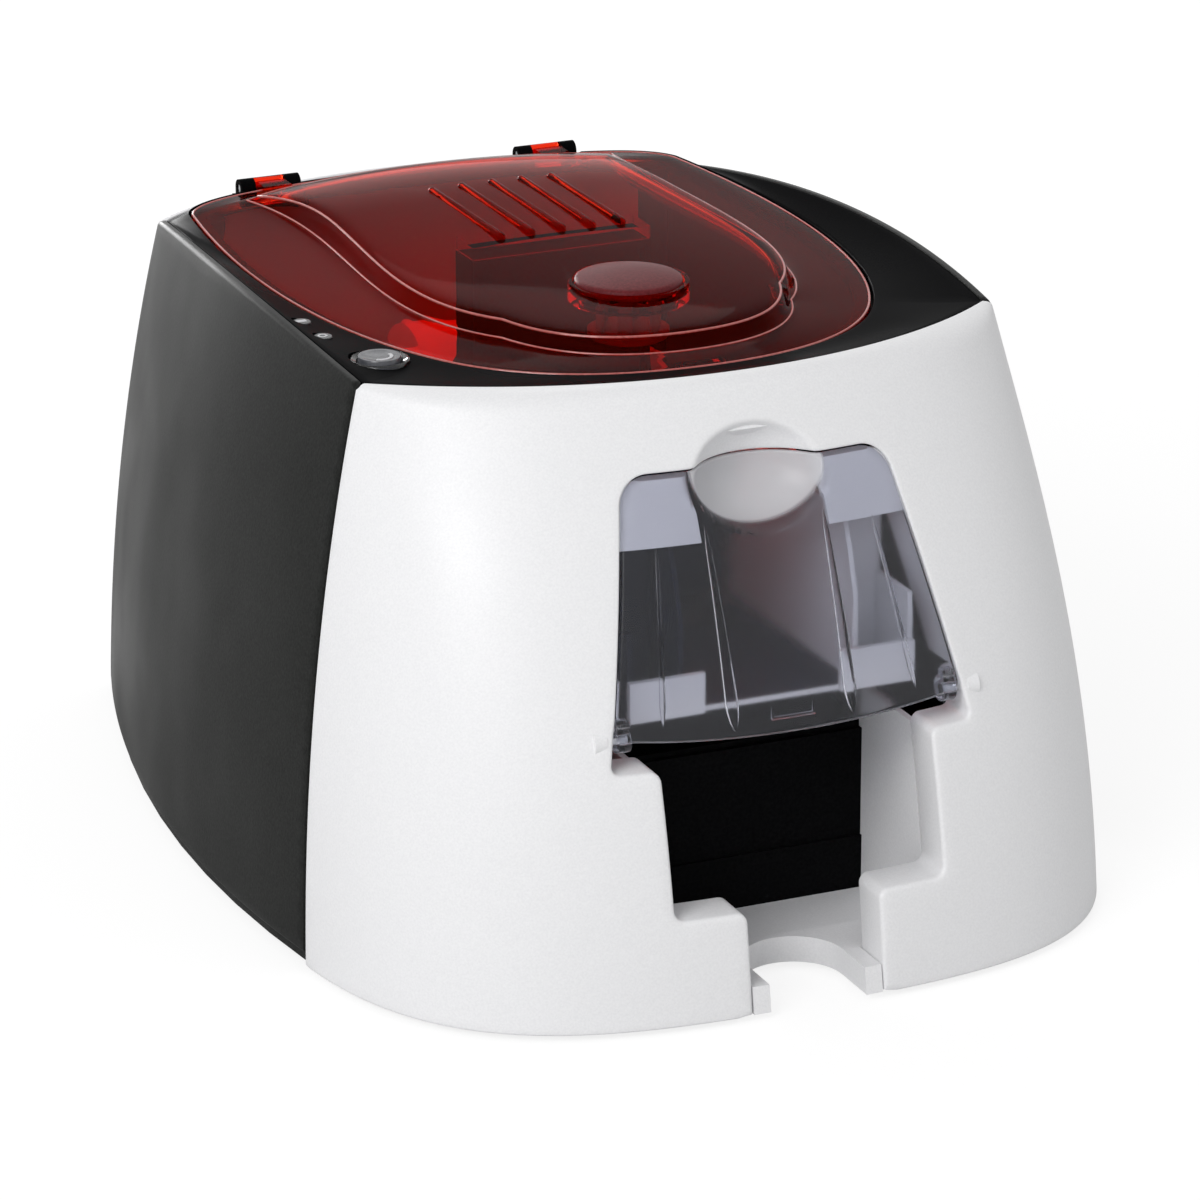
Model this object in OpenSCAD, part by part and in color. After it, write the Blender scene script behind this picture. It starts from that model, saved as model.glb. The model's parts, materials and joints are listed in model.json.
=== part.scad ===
// ID card printer with a see-through hinged lid, a front card feeder with a drop-down door
// and an open card tray below it.
//
// Frame: X right, Z up, and the front faces -Y. The origin is on the surface that the printer
// stands on, at the middle of its footprint. Inside the modules y counts back from the front
// edge of the body, and place() sets each node forward by half of the length.

/* [Body] */
// Greatest width, near the base
body_w = 264; // [256:1:276]
// Length from the front edge to the back of the rear cover
body_l = 375; // [368:1:390]
// Height of the side rims at their highest
rim_h = 181; // [178:0.5:188]
// Width across the side rims
rim_w = 212; // [208:1:220]
// Distance from the front edge to the widest place
belly_y = 156; // [150:1:165]
// Radius of the sides' sweep at the base, in plan
side_r = 526; // [480:2:700]
// Radius of the sides' sweep at the rim, in plan
rim_side_r = 700; // [600:5:850]
// Radius of the rims' arch, seen from the side
rim_arch_r = 700; // [600:5:850]
// How far the front leans back up to the ridge below the lid
front_lean = 55.5; // [50:0.5:58]
// How far the ridge along the top of the front cover lies below the rims
ridge_drop = 9; // [8:0.5:11]
// How far the middle of the rear cover's top edge lies below the rims
rear_drop = 12; // [11:0.5:14]
// Height of the front cover's lower edge
skirt_z = 2; // [1.5:0.25:2.5]
// Wall of the outer covers
wall = 2.5; // [2:0.1:3]
// Seam between neighbouring covers
seam = 0.5; // [0.4:0.05:0.8]
// Wall of the base pan's floor
base_t = 3; // [2.5:0.25:4]
// Height of the rubber feet below the base pan
foot_h = 3; // [2.5:0.25:4]
// Diameter of a rubber foot
foot_d = 16; // [12:1:18]

/* [Cards] */
// Width of a card, across the printer
card_w = 54; // [53:0.5:56]
// Length of a card, along the feed
card_l = 85.6; // [84:0.2:87]
// Thickness of a card
card_t = 0.76; // [0.5:0.02:1]
// Side clearance of a card in the feeder
card_gap = 0.5; // [0.3:0.1:0.9]
// Height of the card path
path_z = 88; // [87:0.25:89]

/* [Feeder and tray] */
// Width of the feeder door's place at its foot
feeder_w = 116; // [112:1:118]
// Width of the feeder door's place at its top, between the rounded corners
feeder_top_w = 68; // [60:1:72]
// Height of the foot of the feeder door's place
feeder_z = 76; // [75:0.25:77]
// Distance from the ridge down to its top edge
feeder_drop = 16.5; // [15:0.5:20]
// Radius of its top corners
feeder_corner_r = 10; // [6:1:14]
// Clearance around the door
door_gap = 0.6; // [0.5:0.05:0.8]
// Wall of the door
door_t = 2.2; // [1.8:0.1:2.6]
// Radius of the finger scoop's ball
scoop_r = 24; // [22:0.5:26]
// Width of the tray's mouth
mouth_w = 87; // [85:0.5:90]
// Height of the step in the tray's mouth
step_z = 33; // [30:0.5:36]
// Width of the finger gap below the step
finger_w = 42.6; // [38:0.2:46]
// Depth of the tray behind the front edge
tray_depth = 66; // [63:0.5:67]
// Depth of the walls that line the mouth
return_deep = 15; // [13:0.5:16]
// Radius of the round cut in the tray floor
notch_r = 15.5; // [13:0.5:17]

/* [Lid] */
// Width of the frame on either side of the lid
lid_side = 16; // [15:0.5:18]
// Thickness of the lid
lid_t = 2.2; // [1.8:0.1:2.6]
// How far the lid's flange lies below the rims
flange_drop = 5.5; // [4.5:0.25:6.5]
// Height of the dome above the flange
dome_rise = 13; // [11:0.5:15]
// Clearance around the flange
lid_gap = 0.8; // [0.6:0.1:1]
// Diameter of the release pad
pad_d = 33; // [30:0.5:36]
// Travel of the release pad
pad_travel = 2; // [1.5:0.25:2.5]
// Diameter of the hinge pins
pin_d = 3; // [2.5:0.25:3.5]

/* [Controls] */
// Diameter of the control button's cap
button_d = 13; // [11:0.5:14]
// Outer diameter of its clear ring
ring_d = 18.5; // [18:0.5:20]
// Travel of the button
button_travel = 1; // [0.6:0.1:1.4]
// Diameter of a status window
window_d = 6; // [5:0.5:7]

/* [Mechanism] */
// Half of the distance between the chassis plates
plate_x = 46; // [45:0.5:48]
// Thickness of the chassis plates
plate_t = 2; // [1.5:0.25:2.5]
// Diameter of the roller shafts
shaft_d = 5; // [4.5:0.25:5.5]
// Radial clearance of a running fit
run_gap = 0.05; // [0.03:0.01:0.08]
// Radius of the pick roller and of the platen roller
platen_r = 8; // [7.5:0.25:8.5]
// Radius of the transport rollers
roller_r = 5; // [4.5:0.25:5.5]
// Width of the gears
gear_w = 5; // [4:0.5:6]
// Distance from the front edge to the pick roller
pick_y = 110; // [109:0.5:112]
// Distance from the front edge to the platen roller
platen_y = 190; // [188:0.5:191]
// Distance between the platen and each transport roller
roller_pitch = 26; // [25:0.25:26.5]
// Radius of the full supply spool
supply_r = 19; // [14:0.5:21]
// Radius of the take-up spool
takeup_r = 13; // [10:0.5:14]
// Width of the ribbon
ribbon_w = 56; // [54:0.5:58]

/* [Hidden] */
$fn = 48;

charcoal = [0.16, 0.165, 0.16];
satin_black = [0.07, 0.07, 0.075];
white_plastic = [0.93, 0.93, 0.94];
clear_red = [0.7, 0.05, 0.03, 0.75];
frosted = [0.8, 0.8, 0.87, 0.7];
dark_rubber = [0.1, 0.1, 0.1];
steel = [0.72, 0.73, 0.75];
acetal = [0.88, 0.86, 0.78];

tiny = 0.01;
slack = 0.3;

// ---- outline of the body ----

ridge_h = rim_h - ridge_drop;
rear_ridge_h = rim_h - rear_drop;
feeder_top_z = ridge_h - feeder_drop;
flange_z = rim_h - flange_drop;
dome_z = flange_z + dome_rise;
front_seam_y = 88;
front_rim_y = 100;
rear_seam_y = body_l - 35;
rear_rim_y = body_l - 64;
rim_top_y = 178;
front_flat = 62;
front_turn = 9;
crest_rise = 6;
crest_back = 6.5;
rear_tuck = 36;
rear_round = 8;
rear_corner = 15;

function mix(a, b, k) = a + (b - a) * k;
function bezier(p, t) = pow(1 - t, 3) * p[0] + 3 * pow(1 - t, 2) * t * p[1]
    + 3 * (1 - t) * t * t * p[2] + pow(t, 3) * p[3];
function bowed(width, radius, y) = width / 2 - pow(y - belly_y, 2) / (2 * radius);
function base_x(y) = bowed(body_w, side_r, y);
function rim_x(y) = bowed(rim_w, rim_side_r, y);
function rim_z(y) = rim_h - pow(y - rim_top_y, 2) / (2 * rim_arch_r);

// Curves of the right half, from the middle of the front (u = 0) past the front seam (u = 1)
// and the rear seam (u = 2) to the middle of the back (u = 3)
front_base = [
    [0, 0], [front_flat, 0], [base_x(front_seam_y) - front_turn, 4],
    [base_x(front_seam_y), front_seam_y]
];
front_ridge = [
    [0, front_lean], [50, front_lean], [88, front_lean + 10.5],
    [rim_x(front_rim_y), front_rim_y]
];
front_crest = [
    [0, front_lean + crest_back], [46, front_lean + crest_back], [80, front_lean + 23],
    [rim_x(front_rim_y), front_rim_y]
];
rear_base = [
    [base_x(rear_seam_y), rear_seam_y], [base_x(rear_seam_y) - rear_round, body_l - 8],
    [50, body_l], [0, body_l]
];
rear_top = [
    [rim_x(rear_rim_y), rear_rim_y], [rim_x(rear_rim_y) - rear_corner, rear_rim_y + 14],
    [38, body_l - rear_tuck], [0, body_l - rear_tuck]
];

function base_curve(u) = u <= 1 ? bezier(front_base, u)
    : u <= 2 ? let (y = mix(front_seam_y, rear_seam_y, u - 1)) [base_x(y), y]
    : bezier(rear_base, u - 2);
function side_rim(u) = let (y = mix(front_rim_y, rear_rim_y, u - 1)) [rim_x(y), y];
function top_curve(u) = u <= 1 ? bezier(front_ridge, u)
    : u <= 2 ? side_rim(u) : bezier(rear_top, u - 2);
function crest_curve(u) = u <= 1 ? bezier(front_crest, u)
    : u <= 2 ? side_rim(u) : bezier(rear_top, u - 2);
function front_top_z(x, h) = mix(h, rim_z(front_rim_y), pow(x / rim_x(front_rim_y), 4));
function rear_top_z(x) = mix(rear_ridge_h, rim_z(rear_rim_y), pow(x / rim_x(rear_rim_y), 4));
function top_z(u) = u <= 1 ? front_top_z(top_curve(u)[0], ridge_h)
    : u <= 2 ? rim_z(top_curve(u)[1]) : rear_top_z(top_curve(u)[0]);
function crest_z(u) = u <= 1 ? front_top_z(crest_curve(u)[0], ridge_h + crest_rise) : top_z(u);

// v runs round the whole body: 0 to 3 on the right, 3 to 6 back along the left
function side_of(v) = v > 3 || v < 0 ? -1 : 1;
function half_of(v) = v > 3 ? 6 - v : abs(v);
function lean_x(t) = mix(pow(t, 2.1), t, 0.12);
function lean_y(t) = mix(pow(t, 2), t, 0.33);
function skin(v, t) = let (u = half_of(v), b = base_curve(u), c = top_curve(u)) [
    side_of(v) * mix(b[0], c[0], lean_x(t)), mix(b[1], c[1], lean_y(t)),
    mix(skirt_z, top_z(u), t)
];
function crest(v) = let (u = half_of(v), c = crest_curve(u)) [
    side_of(v) * c[0], c[1], crest_z(u)
];
function turned_in(a, b) = let (d = b - a) [-d[1], d[0], 0] / norm([d[0], d[1]]);
function inside(v, t, depth) = skin(v, t)
    + depth * turned_in(skin(v - 0.02, t), skin(v + 0.02, t));
function crest_inside(v, depth) = crest(v)
    + depth * turned_in(crest(v - 0.02), crest(v + 0.02)) - [0, 0, depth * 0.6];
// Where the front stands at a height, on the middle line
function front_y(z) = front_lean * lean_y((z - skirt_z) / (ridge_h - skirt_z));
// The height parameter that reaches a height on a place of the outline
function height_t(v, z) = (z - skirt_z) / (top_z(half_of(v)) - skirt_z);
// Just behind the front wall at a height, beside the tray and the feeder
beside_v = 0.3;
function behind_front(z, gap) = inside(beside_v, height_t(beside_v, z), wall + gap)[1];

// ---- solids from grids of points ----

function flat(rows) = [for (row = rows) each row];
function strip(a, b, c, d) = [[a, d, c], [a, c, b]];

// A wall between an outer and an inner sheet, each given as rows of points going up
module walled(outer, inner) {
    rows = len(outer);
    cols = len(outer[0]);
    n = rows * cols;
    function at(j, i) = j * cols + i;
    sheets = [for (j = [0 : rows - 2]) for (i = [0 : cols - 2]) each concat(
        strip(at(j, i), at(j, i + 1), at(j + 1, i + 1), at(j + 1, i)),
        strip(n + at(j, i), n + at(j + 1, i), n + at(j + 1, i + 1), n + at(j, i + 1))
    )];
    ends = [for (j = [0 : rows - 2]) each concat(
        strip(n + at(j, 0), at(j, 0), at(j + 1, 0), n + at(j + 1, 0)),
        strip(at(j, cols - 1), n + at(j, cols - 1), n + at(j + 1, cols - 1), at(j + 1, cols - 1))
    )];
    edges = [for (i = [0 : cols - 2]) each concat(
        strip(n + at(0, i), n + at(0, i + 1), at(0, i + 1), at(0, i)),
        strip(at(rows - 1, i), at(rows - 1, i + 1), n + at(rows - 1, i + 1), n + at(rows - 1, i))
    )];
    polyhedron(concat(flat(outer), flat(inner)), concat(sheets, ends, edges), convexity = 6);
}

// A solid whose skin runs through closed loops of points, from a flat loop to a flat loop
module lofted(loops) {
    m = len(loops[0]);
    k = len(loops);
    sides = [for (j = [0 : k - 2]) for (i = [0 : m - 1]) each strip(
        j * m + i, j * m + (i + 1) % m, (j + 1) * m + (i + 1) % m, (j + 1) * m + i
    )];
    bottom = [for (i = [0 : m - 1]) i];
    top = [for (i = [0 : m - 1]) (k - 1) * m + m - 1 - i];
    polyhedron(flat(loops), concat([bottom], sides, [top]), convexity = 6);
}

// A closed band whose section is given at each step round it
module banded(sections) {
    m = len(sections[0]);
    k = len(sections);
    faces = [for (j = [0 : k - 1]) for (i = [0 : m - 1]) each strip(
        j * m + i, ((j + 1) % k) * m + i, ((j + 1) % k) * m + (i + 1) % m, j * m + (i + 1) % m
    )];
    polyhedron(flat(sections), faces, convexity = 8);
}

module place() {
    translate([0, -body_l / 2, 0]) children();
}
module both_sides() {
    children();
    mirror([1, 0, 0]) children();
}
// A rod along X from x0 to x1
module rod(x0, x1, r) {
    translate([x0, 0, 0]) rotate([0, 90, 0]) cylinder(h = x1 - x0, r = r);
}
module block(low, high) {
    translate(low) cube(high - low);
}
// A plate whose outline is in the side view, with y across and z up
module side_plate(x0, x1, outline) {
    translate([x0, 0, 0]) rotate([90, 0, 90]) linear_extrude(x1 - x0) polygon(outline);
}
// A cut straight through the front, with its outline in the front view
module front_cut(outline, y0, y1) {
    translate([0, y1, 0]) rotate([90, 0, 0]) linear_extrude(y1 - y0) polygon(outline);
}
function arc(center, r, from, to, steps) = [
    for (i = [0 : steps]) let (a = mix(from, to, i / steps)) center + r * [cos(a), sin(a)]
];
function mirrored(points) = [for (i = [len(points) - 1 : -1 : 0]) [-points[i][0], points[i][1]]];

// ---- base ----

floor_z = foot_h + base_t;
pan_inset = 1.2;
leg_r = 5;
front_leg = [rim_w / 2 - 14, 106];
rear_leg = [rim_w / 2 - 28, body_l - 83];
leg_spots = [
    front_leg, rear_leg, [-front_leg[0], front_leg[1]], [-rear_leg[0], rear_leg[1]]
];
front_foot = [body_w / 2 - 37, 78];
rear_foot = [body_w / 2 - 48, body_l - 53];
foot_spots = [
    front_foot, rear_foot, [-front_foot[0], front_foot[1]], [-rear_foot[0], rear_foot[1]]
];
screw_r = 1.6;
screw_head_r = 3.4;
screw_head_h = 2;

function pan_outline(inset) = [for (v = [0 : 0.1 : 5.95]) let (p = inside(v, 0, inset)) [p[0], p[1]]];
front_gap_in = wall + slack;

module base_pan() {
    finger_cut = finger_half + return_t + slack;
    color(charcoal) place() difference() {
        intersection() {
            translate([0, 0, foot_h]) linear_extrude(base_t) polygon(pan_outline(pan_inset));
            union() {
                block([-body_w, front_seam_y + 2, 0], [body_w, rear_seam_y - 2, floor_z + 1]);
                translate([0, 0, foot_h]) linear_extrude(base_t)
                    polygon(pan_outline(front_gap_in + 1));
            }
        }
        block([-finger_cut, -5, 0], [finger_cut, tongue_y + slack, floor_z + 1]);
        for (p = leg_spots) translate([p[0], p[1], foot_h - 1]) {
            cylinder(h = base_t + 2, r = screw_r + 0.2);
            cylinder(h = 1 + screw_head_h / 2, r = screw_head_r + 0.3);
        }
        for (p = chassis_screw_spots) translate([p[0], p[1], foot_h - 1])
            cylinder(h = base_t + 2, r = screw_r);
    }
}

module rubber_feet() {
    color(dark_rubber) place() for (p = foot_spots) translate([p[0], p[1], 0])
        cylinder(h = foot_h, d = foot_d);
}

module screw(length) {
    translate([0, 0, -screw_head_h / 2]) {
        cylinder(h = screw_head_h / 2, r = screw_head_r);
        cylinder(h = length + screw_head_h / 2, r = screw_r);
    }
}

module base_screws() {
    color(steel) place() for (p = leg_spots) translate([p[0], p[1], foot_h + screw_head_h / 2])
        screw(14);
}

// ---- outer covers ----

cover_rows = 11;
front_steps = 32;
side_steps = 16;
rear_steps = 22;

// Wall of a stretch of the body, from v0 to v1, standing on z0, from depth d0 to depth d1
module body_wall(v0, v1, steps, z0, d0, d1, rows) {
    function row_t(v, j) = mix(height_t(v, z0), 1, j / rows);
    function col_v(i) = mix(v0, v1, i / steps);
    walled(
        [for (j = [0 : rows]) [for (i = [0 : steps]) inside(col_v(i), row_t(col_v(i), j), d0)]],
        [for (j = [0 : rows]) [for (i = [0 : steps]) inside(col_v(i), row_t(col_v(i), j), d1)]]
    );
}

function seam_share(length) = seam / length;
side_length = rear_seam_y - front_seam_y;

module side_panel() {
    cut = seam_share(side_length);
    body_wall(1 + cut / 2, 2 - cut / 2, side_steps, floor_z, 0, wall, cover_rows);
}
module right_side_panel() {
    color(charcoal) place() side_panel();
}
module left_side_panel() {
    color(charcoal) place() mirror([1, 0, 0]) side_panel();
}

feeder_half = feeder_w / 2;
corner_x = feeder_top_w / 2;
corner_z = feeder_top_z - feeder_corner_r;
// Half of the outline of the door's place, grown by g, from the foot up and over the corner
function feeder_side(g) = concat(
    [[feeder_half + g, feeder_z - g]],
    arc([corner_x, corner_z], feeder_corner_r + g, 14, 90, 6)
);
function feeder_outline(g) = concat(feeder_side(g), mirrored(feeder_side(g)));
mouth_half = mouth_w / 2;
finger_half = finger_w / 2;
mouth_outline = [
    [finger_half, -5], [finger_half, step_z], [mouth_half, step_z],
    [mouth_half, feeder_z + 2], [-mouth_half, feeder_z + 2], [-mouth_half, step_z],
    [-finger_half, step_z], [-finger_half, -5]
];
scoop_z = feeder_top_z - 4.5;
scoop_out = 11.1;
scoop_rise = 3.5;
scoop_flat = 0.78;
front_deep = 72;
return_t = 2;
mouth_lining = [
    [finger_half + return_t, -5], [finger_half + return_t, step_z - return_t],
    [mouth_half + return_t, step_z - return_t], [mouth_half + return_t, feeder_z - return_t],
    [feeder_half, feeder_z - return_t], [feeder_half, feeder_z]
];
stop_x = [20.5, 50];
stop_z = [feeder_top_z - 20.2, feeder_top_z + 4.5];
stop_t = 1.8;

module front_skin(d0, d1, v1, z0, steps, rows) {
    body_wall(-v1, v1, steps, z0, d0, d1, rows);
}
module front_shell() {
    cut = seam_share(side_length) / 2;
    v1 = 1 - cut;
    function col_v(i) = mix(-v1, v1, i / front_steps);
    walled(
        concat(
            [for (j = [0 : cover_rows]) [for (i = [0 : front_steps])
                inside(col_v(i), j / cover_rows, 0)]],
            [[for (i = [0 : front_steps]) crest(col_v(i))]]
        ),
        concat(
            [for (j = [0 : cover_rows]) [for (i = [0 : front_steps])
                inside(col_v(i), j / cover_rows - 0.02 * j / cover_rows, wall)]],
            [[for (i = [0 : front_steps]) crest_inside(col_v(i), wall)]]
        )
    );
}
module scoop_ball(r) {
    translate([0, front_y(scoop_z) - scoop_out, scoop_z + scoop_rise]) scale([1, 1, scoop_flat])
        sphere(r = r, $fn = 72);
}
module scoop_wall(deeper) {
    intersection() {
        difference() {
            scoop_ball(scoop_r + deeper);
            scoop_ball(scoop_r);
        }
        front_skin(1.1, 20, 0.5, 110, 10, 6);
    }
}
module mouth_returns() {
    intersection() {
        front_skin(1, return_deep, 0.6, skirt_z, 24, 8);
        difference() {
            front_cut(concat(mouth_lining, mirrored(mouth_lining)), -10, front_deep);
            front_cut(mouth_outline, -20, front_deep + 10);
        }
    }
}
// Flanges that the closed door rests against
module door_stops() {
    difference() {
        intersection() {
            union() {
                front_skin(door_t + door_gap, door_t + door_gap + stop_t, 0.6, 110, 16, 8);
                difference() {
                    front_skin(wall - 0.3, door_t + door_gap + stop_t, 0.6, 110, 16, 8);
                    front_cut(feeder_outline(0.4), -10, front_deep + 20);
                }
            }
            both_sides() block([stop_x[0], 0, stop_z[0]], [stop_x[1], front_deep, stop_z[1]]);
        }
        scoop_ball(scoop_r + door_t + 1);
    }
}
pin_y = front_y(feeder_z + 8.5) + 3 + 5.5;
pin_z = feeder_z + 8.5;
lug_r = 4;
tab_h = 12;
door_lug_x = [feeder_half - 7.5, feeder_half - 3.7];
cover_lug_x = [feeder_half + 0.2, feeder_half + 4];
door_pin_end = cover_lug_x[1] - 0.6;

module front_cover() {
    color(white_plastic) place() difference() {
        union() {
            difference() {
                union() {
                    difference() {
                        front_shell();
                        scoop_ball(scoop_r);
                    }
                    intersection() {
                        scoop_wall(wall);
                        block([-40, 0, feeder_top_z + 0.2], [40, front_deep + 20, 200]);
                    }
                }
                front_cut(feeder_outline(0), -10, front_deep);
                front_cut(mouth_outline, -10, front_deep - 30);
            }
            mouth_returns();
            door_stops();
            intersection() {
                front_skin(1, 10, 0.9, floor_z, 12, 3);
                both_sides() block([64, 0, floor_z], [76, front_deep, floor_z + tab_h]);
            }
            both_sides() intersection() {
                union() {
                    translate([0, pin_y, pin_z]) rod(cover_lug_x[0], cover_lug_x[1], lug_r);
                    block([cover_lug_x[0], 0, feeder_z - return_t],
                        [cover_lug_x[1], pin_y + lug_r, pin_z]);
                }
                front_skin(1, 20, 0.5, feeder_z - 4, 14, 8);
            }
        }
        both_sides() translate([0, pin_y, pin_z])
            rod(cover_lug_x[0] - 1, door_pin_end, pin_d / 2);
    }
}

socket_z = floor_z + 8;
rear_face_y = body_l - 8;
usb_x = -28;
usb_size = [12, 11];
power_x = 30;
power_r = 5.5;

module rear_cover() {
    cut = seam_share(side_length);
    color(white_plastic) place() difference() {
        union() {
            body_wall(2 + cut / 2, 4 - cut / 2, rear_steps, skirt_z, 0, wall, cover_rows);
            intersection() {
                body_wall(2.2, 3.8, 12, floor_z, 1, 10, 3);
                both_sides() block([46, 0, floor_z], [58, body_l, floor_z + tab_h]);
            }
        }
        block([usb_x - usb_size[0] / 2 - slack, rear_face_y - 12, socket_z - slack],
            [usb_x + usb_size[0] / 2 + slack, body_l + 10, socket_z + usb_size[1] + slack]);
        translate([power_x, body_l + 10, socket_z + power_r]) rotate([90, 0, 0])
            cylinder(h = 40, r = power_r + slack);
    }
}

// ---- lid outlines ----

lid_front_y = front_lean + 23.5;
lid_back_y = body_l - 63;
lid_half = rim_w / 2 - lid_side;
function from_front(x, y) = [x, lid_front_y + y];
function from_back(x, y) = [x, lid_back_y - y];
flange_front = [
    from_front(0, 0), from_front(38, 0), from_front(60, 16), from_front(lid_half - 18, 39)
];
flange_side = [
    flange_front[3], from_front(lid_half + 7, 87), from_back(lid_half + 3, 72),
    from_back(lid_half - 5, 22)
];
flange_back = [
    flange_side[3], from_back(lid_half - 10, 6), from_back(50, 0), from_back(0, 0)
];
dome_front = [from_front(0, 13), from_front(24, 13), from_front(40, 25), from_front(47, 46)];
dome_side = [dome_front[3], from_front(80, 86), from_back(46, 74), from_back(64, 20)];
dome_back = [dome_side[3], from_back(50, 13), from_back(25, 12), from_back(0, 12)];
function three(a, b, c, u) = u <= 1 ? bezier(a, u) : u <= 2 ? bezier(b, u - 1) : bezier(c, u - 2);
function flange_half(u) = three(flange_front, flange_side, flange_back, u);
function dome_half(u) = three(dome_front, dome_side, dome_back, u);
function round_trip(v, p) = [side_of(v) * p[0], p[1]];
function flange_edge(v) = round_trip(v, flange_half(half_of(v)));
function dome_edge(v) = round_trip(v, dome_half(half_of(v)));
dome_mid = from_back(0, 87);

lid_steps = 48;
function lid_v(i) = 6 * i / lid_steps;
function grown(v, gap) = let (a = flange_edge(v - 0.02), b = flange_edge(v + 0.02))
    flange_edge(v) - gap * [-(b - a)[1], (b - a)[0]] / norm(b - a);

ledge_in = 5;
frame_t = 2.5;
flange_seat = flange_z - lid_t - slack;

module frame_ring() {
    banded([for (i = [0 : lid_steps - 1])
        let (
            v = lid_v(i),
            rim = crest_inside(v, wall + slack),
            edge = grown(v, lid_gap),
            ledge = grown(v, -ledge_in)
        ) [
            [ledge[0], ledge[1], flange_seat - frame_t],
            [rim[0], rim[1], min(rim[2], flange_seat + 3) - frame_t],
            [rim[0], rim[1], rim[2] + 0.6 * wall],
            [edge[0], edge[1], flange_z + 0.3],
            [edge[0], edge[1], flange_seat],
            [ledge[0], ledge[1], flange_seat]
        ]
    ]);
}

// ---- top frame ----

button_spot = from_front(2 - lid_half, 42);
window_spots = [from_front(-lid_half - 7, 65), from_front(-lid_half - 8, 80)];
knuckle_x = [44, 54];
outer_lug = 5;
knuckle_r = 3;
hinge_y = lid_back_y + 3.5;
hinge_z = flange_z - 1;
pocket_back = hinge_y + knuckle_r + slack;
leg_top = flange_seat - 1;
button_seat_z = flange_z - 4;
catch_y = lid_front_y + 2;

module top_frame() {
    color(satin_black) place() difference() {
        union() {
            difference() {
                frame_ring();
                both_sides() block([knuckle_x[0] - outer_lug - slack, lid_back_y - 12,
                    hinge_z - knuckle_r - slack], [knuckle_x[1] + outer_lug + slack, pocket_back,
                    flange_z + 10]);
            }
            for (p = leg_spots) translate([p[0], p[1], floor_z])
                cylinder(h = leg_top - floor_z, r = leg_r);
            translate([button_spot[0], button_spot[1], button_seat_z - 3])
                cylinder(h = 5, d = ring_d + 3);
            both_sides() {
                for (x = [knuckle_x[0] - outer_lug - slack, knuckle_x[1] + slack]) {
                    translate([0, hinge_y, hinge_z]) rod(x, x + outer_lug, knuckle_r);
                    block([x, hinge_y - knuckle_r, hinge_z - 7],
                        [x + outer_lug, hinge_y + knuckle_r, hinge_z]);
                }
                block([knuckle_x[0] - outer_lug - slack, hinge_y - knuckle_r, hinge_z - 7],
                    [knuckle_x[1] + outer_lug + slack, pocket_back + 3,
                    hinge_z - knuckle_r - slack]);
            }
        }
        both_sides() translate([0, hinge_y, hinge_z])
            rod(knuckle_x[0] - outer_lug - 1, knuckle_x[1] + outer_lug + 1, pin_d / 2);
        translate([button_spot[0], button_spot[1], button_seat_z])
            cylinder(h = 20, d = ring_d + 0.1);
        translate([button_spot[0], button_spot[1], button_seat_z - 10])
            cylinder(h = 20, d = button_d + 2 * slack - 4);
        for (p = window_spots) translate([p[0], p[1], flange_z - 8]) cylinder(h = 20, d = window_d);
        for (p = leg_spots) translate([p[0], p[1], floor_z - 1]) cylinder(h = 14, r = screw_r);
    }
}

module button_ring() {
    color(frosted) place() translate([button_spot[0], button_spot[1], button_seat_z])
        rotate_extrude() polygon([
            [button_d / 2 + slack, 0], [ring_d / 2, 0], [ring_d / 2, 7], [ring_d / 2 - 1, 7.6],
            [button_d / 2 + slack, 7]
        ]);
}
module status_windows() {
    color(frosted) place() for (p = window_spots) translate([p[0], p[1], flange_z - 1])
        cylinder(h = 5, d = window_d);
}
module control_button() {
    color(frosted) place() translate([button_spot[0], button_spot[1], button_seat_z]) difference() {
        union() {
            translate([0, 0, button_travel + slack]) cylinder(h = 5.2, d = button_d);
            translate([0, 0, -3.5 - 2]) cylinder(h = 8, d = button_d - 4);
            translate([0, 0, -6]) cylinder(h = 1.5, d = button_d - 1.2);
        }
        translate([0, 0, 27]) sphere(r = 21.5);
    }
}

// ---- lid ----

foot_z_rise = 1.5;
dome_top_y = lid_back_y - 77;
function dome_at(p) = dome_z - (p[1] > dome_top_y ? 0.0018 : 0.00035) * pow(p[1] - dome_top_y, 2)
    - 0.001 * pow(p[0], 2);
function to_mid(v, share) = let (e = dome_edge(v)) mix(dome_mid, e, share);
function dome_loop(share, drop) = [for (i = [0 : lid_steps - 1])
    let (p = to_mid(lid_v(i), share)) [p[0], p[1], dome_at(p) - drop]];
function level_loop(share, z) = [for (i = [0 : lid_steps - 1])
    let (p = to_mid(lid_v(i), share)) [p[0], p[1], z]];
function edge_loop(gap, z) = [for (i = [0 : lid_steps - 1])
    let (p = grown(lid_v(i), gap)) [p[0], p[1], z]];

pad_spot = from_front(0, 59);
rib_x = [-20.4, -10.2, 0, 10.2, 20.4];
rib_y = [lid_back_y - 125, lid_back_y - 66];
rib_r = 1.3;
pad_well_r = pad_d / 2 + 0.5;
pad_hole_r = pad_d / 2 - 2.2;
pad_z = dome_at(pad_spot);
pad_slope = atan(dome_at(pad_spot + [0, 1]) - pad_z);
pad_under = 2;
pad_seat_z = pad_z - pad_under - pad_travel - slack;
head_boss = [[-30, platen_y - 2], [30, platen_y + 12]];
head_top = dome_z - lid_t - 6;
boss_top = dome_at([head_boss[1][0], head_boss[0][1]]) - 0.3;

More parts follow.
